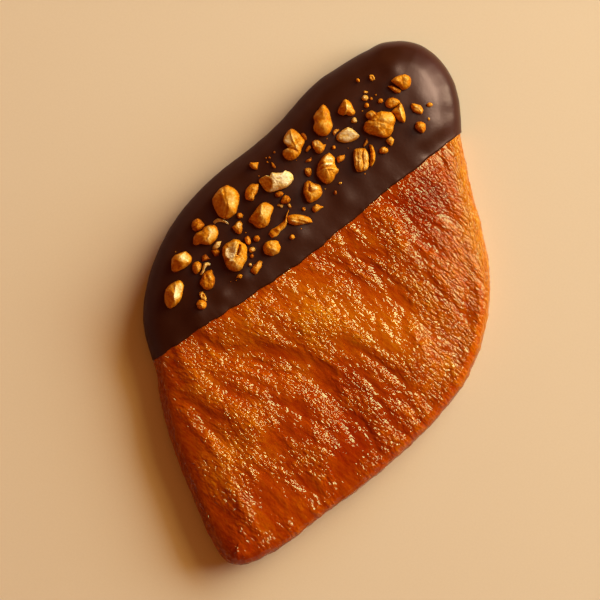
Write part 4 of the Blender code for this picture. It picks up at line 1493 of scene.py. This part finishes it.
    "nut_24": [kernel(
        [(286.9, 217.5), (290, 215.3), (295, 214.7), (300, 215), (305, 216.3), (308.8, 217.5), (311.3, 220), (312.8, 222.8),
         (310, 223.8), (305, 224.4), (300, 225.6), (295, 225.9), (290.6, 224.7), (288.1, 223.1)],
        3.0, faces=[(90, 20, 0.2, 0.55), (-90, 30, 0.3, 0.35)], lines=[([(288, 220), (295, 222), (305, 224)], 0.9, 0.2, 0.4)],
        tone=0.45, seed=24)],
    "nut_25": [strip(
        [(289, 210), (287, 213.5), (285.8, 217), (284.6, 220.5), (280, 224.5), (276, 227.5), (271.5, 230), (268.3, 234.5)],
        [(289.4, 210.4), (288, 214), (287, 219), (287.4, 222.5), (285.5, 227.5), (280.5, 231.8), (277.5, 236), (272, 238.6)],
        3.0, tone=0.36, seed=9, tones=(-0.06, 0.2))],
    "nut_26": [kernel(
        [(270.3, 240.8), (277.8, 240.8), (281.2, 247.7), (278.9, 253.5), (272, 256.7), (265.1, 254.6), (262.8, 247.7), (265.7, 242.6)],
        4.3, lumps=[(270, 245.6, 1.0, -0.25, -0.35), (274, 251, 3.5, 0.2, 0.15)], tone=0.48, seed=25, rough=0.05)],
    "nut_27": [kernel(
        [(259.4, 260.4), (262.8, 261.5), (261.7, 267.2), (256, 275.3), (250.2, 271.8), (252.5, 267.2)],
        2.6, faces=[(30, 28, 0.4, 0.6), (215, 26, 0.4, 0.35)], tone=0.42, seed=26)],
}
for name, parts in PIECES.items():
    pts, quads, tris, tones = joined(parts)
    obj = make_mesh(name + "_roasted", pts, [quads, tris], {"tone": tones})
    obj.data.materials.append(NUT)
    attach(obj, "root")
    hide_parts(name)

# ---------------------------------------------------------------- crumbs
CRUMBS = [
    kernel([(414.2, 128.3), (415.4, 123.3), (420.8, 122.1), (425, 125), (425, 130.8), (422.5, 134.6), (417.5, 132.5)], 3.2, tone=0.34, seed=1),
    kernel([(384.2, 104.2), (387.5, 99.2), (392.5, 98.3), (397.5, 100.4), (400, 103.3), (396.7, 107.5), (390, 110), (385.8, 108.3)], 1.9,
           tone=0.4, seed=2, full=3.4),
    kernel([(240, 220.7), (243.3, 224), (242.3, 226.7), (243.3, 229.3), (241.7, 234), (239.3, 235.3), (235.3, 232), (231.7, 227.3),
            (235.3, 225.3), (236.7, 222.7)], 3.0, faces=[(80, 24, 0.0, 0.8)], tone=0.38, seed=3),
    kernel([(192.7, 265), (195.3, 262), (199.3, 261.3), (202.3, 264), (202, 268.7), (200, 272.7), (196.7, 275), (194, 272), (192.7, 268.7)],
           2.8, faces=[(20, 28, 0.4, 0.62)], tone=0.42, seed=4),
    kernel([(206, 254), (211.3, 259.3), (202.7, 262), (202, 256.7)], 1.7, tone=0.15, seed=5, soften=0.2),
    kernel([(222, 241.3), (216.7, 242), (213.3, 246.7), (212.7, 249.7), (217.3, 250), (220, 247.3)], 2.2, tone=0.85, seed=6, soften=0.2),
    kernel([(211.3, 250.7), (215.3, 257), (219.3, 256), (220.3, 251.3), (217, 249)], 2.0, tone=0.28, seed=7, soften=0.2),
    strip([(213.3, 222.4), (216.7, 219.3), (221.3, 219), (225.3, 220.5), (229.3, 224)],
          [(214.7, 224.8), (217, 222.9), (220.5, 222.3), (225, 223.2), (228.8, 224.8)], 1.3, tone=0.8, seed=8),
    kernel([(236.6, 216), (238, 213.2), (241.5, 213), (243.6, 215.5), (243, 218.5), (239, 219.3)], 2.2, tone=0.45, seed=9),
    kernel([(248, 235.3), (251.3, 239.3), (251.7, 243.3), (249.3, 246), (246, 244), (244.3, 238.7)], 2.6, faces=[(20, 30, 0.2, 0.6)],
           tone=0.4, seed=10),
    kernel([(260.7, 239), (259, 242), (255.5, 242.4), (253.3, 239.5), (254.5, 236), (258.5, 235.6)], 2.6, tone=0.34, seed=11),
    kernel([(248.6, 250), (251, 247.2), (255, 247.5), (256, 250.5), (253.5, 253), (249.5, 252.6)], 1.9, tone=0.78, seed=12),
    kernel([(249.7, 256), (252.3, 253.4), (255, 256), (253, 258.8), (250.5, 258.2)], 1.6, tone=0.2, seed=13),
    kernel([(248.6, 264), (250.5, 262.6), (252.4, 264.5), (251.6, 267.2), (249, 266.6)], 1.5, tone=0.8, seed=14),
    kernel([(243, 276), (241, 279), (238, 277.5), (236, 279), (238, 275), (241, 274)], 1.1, tone=0.6, seed=15, soften=0.15),
    kernel([(199.3, 292.7), (202.7, 291), (205.3, 294), (207.3, 298.7), (206.7, 301.7), (203.3, 300.7), (200.7, 297.3)], 2.4,
           lumps=[(203.5, 296, 1.8, -0.8, -0.2)], tone=0.72, seed=16),
    kernel([(196.5, 304), (199, 299.8), (203, 299.2), (207, 302), (207.4, 306.5), (204, 309.8), (199.5, 309.2)], 2.9,
           lumps=[(202, 305, 1.6, 0.3, 0.1)], tone=0.38, seed=17),
    kernel([(289.3, 237.4), (291, 234.7), (294, 235), (295.1, 238), (293, 240.3), (290.2, 239.8)], 2.0, tone=0.5, seed=18),
    kernel([(285.6, 195.3), (289.4, 196.9), (290.9, 200), (288.8, 203.8), (285, 204.4), (280.6, 203.8), (281.3, 200), (283.1, 196.9)], 2.8,
           tone=0.34, seed=19),
    kernel([(274.4, 193.8), (278.8, 191.3), (281.9, 191.9), (284.1, 194.4), (281.3, 197.5), (278.1, 198.4), (275.6, 196.9)], 2.3,
           tone=0.24, seed=20),
    kernel([(278.1, 204.4), (276.9, 206.6), (280.6, 207.5), (282.5, 208.8), (283.1, 205)], 1.2, tone=0.8, seed=21, soften=0.15),
    kernel([(287.2, 205.2), (288.8, 203.6), (291, 205.6), (291.4, 208.4), (289.2, 208.6)], 1.3, tone=0.75, seed=22, soften=0.15),
    kernel([(315.6, 204.4), (319.4, 205.6), (323.8, 207.5), (320, 209.7), (317.5, 211.9), (314.7, 213.4), (312.5, 211.3), (311.3, 208.8)],
           2.2, faces=[(30, 20, 0.2, 0.62)], tone=0.42, seed=23),
    kernel([(301.5, 209.5), (302.8, 207), (305.2, 207.6), (305.6, 210.6), (303.8, 212.2)], 1.5, tone=0.5, seed=24),
    kernel([(304.4, 169.4), (308.1, 168.1), (311.6, 169.4), (311.9, 173.8), (310.6, 177.5), (307.5, 177.5), (305, 173.8)], 2.4,
           faces=[(90, 26, 0.2, 0.75)], tone=0.36, seed=25),
    kernel([(311.3, 157.8), (311.6, 161.3), (310, 162.8), (305, 162.8), (306.3, 160.6)], 1.6, tone=0.3, seed=26, soften=0.15),
    kernel([(250, 162.8), (254.4, 163.1), (259.1, 162.5), (258.1, 166.3), (257.5, 170.6), (253.1, 169.7), (249.4, 166.3)], 2.2,
           faces=[(60, 18, 0.2, 0.68)], tone=0.45, seed=27),
    kernel([(271, 162), (274, 164.5), (276.3, 168), (274.5, 169.3), (272, 167)], 1.4, tone=0.36, seed=28, soften=0.15),
    kernel([(309.4, 145.6), (311.6, 148.1), (309.4, 150.6), (306.9, 153.4), (305.3, 151.3), (306.9, 148.1)], 1.9, tone=0.5, seed=29,
           soften=0.2),
    kernel([(335.6, 158.8), (338.8, 156.3), (345, 155.3), (344.4, 160), (341.3, 162.5), (337.5, 163.8)], 2.2,
           faces=[(10, 26, 0.5, 0.72)], tone=0.42, seed=30),
    kernel([(331.2, 148), (333, 145.8), (335.6, 147), (335.4, 150), (332.6, 150.4)], 1.9, tone=0.4, seed=31),
    kernel([(337.8, 183.8), (340, 182.2), (342.2, 183), (341, 184.8), (338.6, 185)], 1.0, tone=0.8, seed=32, soften=0.15),
    kernel([(333.2, 192.5), (335, 190.4), (336.8, 192.4), (336.2, 195.2), (334, 195.4)], 1.3, tone=0.05, seed=33),
    kernel([(354.4, 117.8), (356.3, 120), (356.9, 123.1), (353.8, 124.4), (350.9, 123.1), (351.3, 120)], 1.8, tone=0.74, seed=34,
           soften=0.2),
    kernel([(335, 130), (338.8, 129.7), (339.1, 131.3), (336.3, 133.8), (333.8, 136.9), (332.2, 133.8), (333.1, 131.6)], 1.6, tone=0.62,
           seed=35, soften=0.15),
    kernel([(355.2, 81), (357, 78.9), (359.6, 80.2), (359.6, 83), (357, 83.6)], 1.9, tone=0.4, seed=36),
    kernel([(368.8, 75.8), (372.9, 75.8), (375, 80), (371.7, 82.5), (368.8, 79.6)], 1.9, lumps=[(371.6, 79, 1.6, -0.6, -0.2)], tone=0.72,
           seed=37, soften=0.2),
    kernel([(362.5, 93.2), (364.4, 91.6), (367.6, 92.2), (367, 94.2), (364, 94.6)], 1.2, tone=0.72, seed=38, soften=0.15),
    kernel([(361, 99), (363, 96.2), (367, 96.4), (368.4, 99.6), (366, 102), (362.4, 101.6)], 1.9, tone=0.7, seed=39),
    kernel([(369, 99.4), (370.8, 97.8), (372.6, 99.4), (371.6, 101.4), (369.6, 101.2)], 1.4, tone=0.45, seed=40),
    kernel([(363.6, 106), (365.4, 103.3), (368.4, 104.4), (368.8, 107.8), (366.2, 109.4), (364, 108.4)], 1.9, tone=0.36, seed=41),
    kernel([(377, 102), (379, 99.3), (382.2, 99.8), (383, 103), (380.6, 104.8), (377.8, 104.2)], 2.0, tone=0.4, seed=42),
    kernel([(390, 137.1), (393.8, 140.4), (392.5, 145), (390.4, 147.5), (387.5, 144.2), (385, 141.7), (386.7, 139.2)], 2.2,
           faces=[(40, 22, 0.3, 0.8)], tone=0.55, seed=43),
    kernel([(383.3, 147.1), (387.5, 149.2), (387.9, 152.5), (384.2, 155), (379.2, 154.2), (378.8, 150.8), (380.8, 148.3)], 2.5,
           faces=[(70, 24, 0.2, 0.78)], tone=0.42, seed=44),
    kernel([(425.5, 105.5), (427.6, 103.4), (431.4, 103.8), (432.6, 106.2), (430, 108.2), (426.8, 107.8)], 1.8, tone=0.5, seed=45),
    kernel([(426.8, 119), (428, 117.8), (429.4, 119.4), (429, 122), (427.2, 121.6)], 1.0, tone=0.5, seed=46),
    kernel([(363.2, 174.4), (364.6, 173.4), (366, 174.6), (364.8, 175.6)], 0.8, tone=0.6, seed=47),
]
# the smallest bits: (x, y, width, tone)
BITS = [
    (236.5, 280.5, 1.4, 0.6), (176, 252, 1.2, 0.6), (267.3, 162.7, 2.2, 0.4), (266.3, 158.5, 1.7, 0.5),
    (269.8, 158.3, 2.6, 0.4), (274.5, 152.8, 2.6, 0.3), (325, 189.5, 1.6, 0.8), (296.5, 161, 1.3, 0.5),
    (375.2, 96, 2.0, 0.5), (259, 176.5, 1.6, 0.4), (246, 233, 1.6, 0.5), (231, 282, 1.2, 0.5), (301, 229, 1.6, 0.5),
    (327, 139.5, 1.6, 0.6), (348, 149, 1.4, 0.5), (362, 112, 1.6, 0.5),
]
for k, (x, y, w, t) in enumerate(BITS):
    ring = [(x + 0.5 * w * math.cos(a) * (1 + 0.2 * math.sin(3 * a + k)), y + 0.5 * w * math.sin(a)) for a in np.arange(0, 6.2, 0.9)]
    CRUMBS.append(kernel(ring, 0.3 + 0.3 * w, tone=t, seed=50 + k, soften=0.1, rough=0.03))
pts, quads, tris, tones = joined(CRUMBS)
crumbs = make_mesh("nut_crumbs", pts, [quads, tris], {"tone": tones})
crumbs.data.materials.append(NUT)
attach(crumbs, "root")
print("crumbs", len(crumbs.data.vertices), len(crumbs.data.polygons))

# ---------------------------------------------------------------- floor, light, camera
def floor_material():
    mat, tree, shader = material("pale_floor")
    where = node(tree, "ShaderNodeTexCoord").outputs["Object"]
    paper = node(tree, "ShaderNodeTexNoise", {"Vector": where, "Scale": 1400.0, "Detail": 2.0}).outputs[0]
    tree.links.new(ramp(tree, paper, [(0.3, (0.803, 0.706, 0.537)), (0.7, (0.820, 0.722, 0.552))]), shader.inputs["Base Color"])
    shader.inputs["Roughness"].default_value = 0.9
    shader.inputs["Specular IOR Level"].default_value = 0.1
    return mat


bm = bmesh.new()
bmesh.ops.create_grid(bm, x_segments=1, y_segments=1, size=1.5)
floor_mesh = bpy.data.meshes.new("floor")
bm.to_mesh(floor_mesh)
bm.free()
floor = bpy.data.objects.new("floor", floor_mesh)
floor.location.z = -0.00003
bpy.context.scene.collection.objects.link(floor)
floor_mesh.materials.append(floor_material())


def toward(px_angle, elevation, distance):
    """A place seen from the croissant at that angle in the photo (anticlockwise from right) and that height."""
    a = TURN + math.radians(px_angle)
    e = math.radians(elevation)
    return (
        distance * math.cos(e) * math.cos(a),
        distance * math.cos(e) * math.sin(a),
        distance * math.sin(e),
    )


def area(name, place, wide, high, power, colour):
    data = bpy.data.lights.new(name, "AREA")
    data.shape = "ELLIPSE"
    data.size = wide
    data.size_y = high
    data.energy = power
    data.color = colour
    obj = bpy.data.objects.new(name, data)
    obj.location = place
    from mathutils import Vector

    obj.rotation_euler = (-Vector(place)).to_track_quat("-Z", "Y").to_euler()
    bpy.context.scene.collection.objects.link(obj)
    return obj


for name, place, wide, high, power, colour in (
    ("key_low", toward(34, 17.5, 1.9), 2.75, 1.05, 65, (0.73, 0.92, 1.0)),
    ("key_high", toward(33, 28, 1.9), 2.15, 1.2, 35, (1.0, 0.64, 0.2)),
):
    area(name, place, wide, high, power, colour).visible_glossy = False
for name, place, wide, power in (("glint", toward(33, 53, 1.5), 0.68, 36), ("glint_low", toward(22, 25, 1.5), 0.5, 14)):
    area(name, place, wide, wide, power, (0.63, 0.86, 0.36)).visible_diffuse = False
world = bpy.data.worlds.new("studio")
bpy.context.scene.world = world
world.use_nodes = True
world.node_tree.nodes["Background"].inputs[0].default_value = (1.0, 0.32, 0.07, 1)
world.node_tree.nodes["Background"].inputs[1].default_value = 0.27

camera_data = bpy.data.cameras.new("camera")
camera = bpy.data.objects.new("camera", camera_data)
bpy.context.scene.collection.objects.link(camera)
HEIGHT = 1.4
cx, cy = row(300, 300)
camera.location = (cx * MM, cy * MM, HEIGHT)
camera.rotation_euler = (0, 0, TURN)
camera_data.sensor_width = 36
camera_data.lens = 36 * (HEIGHT - 0.006) / (600 * PX * MM)
camera_data.clip_end = 10
bpy.context.scene.camera = camera
bpy.context.scene.view_settings.view_transform = "Standard"
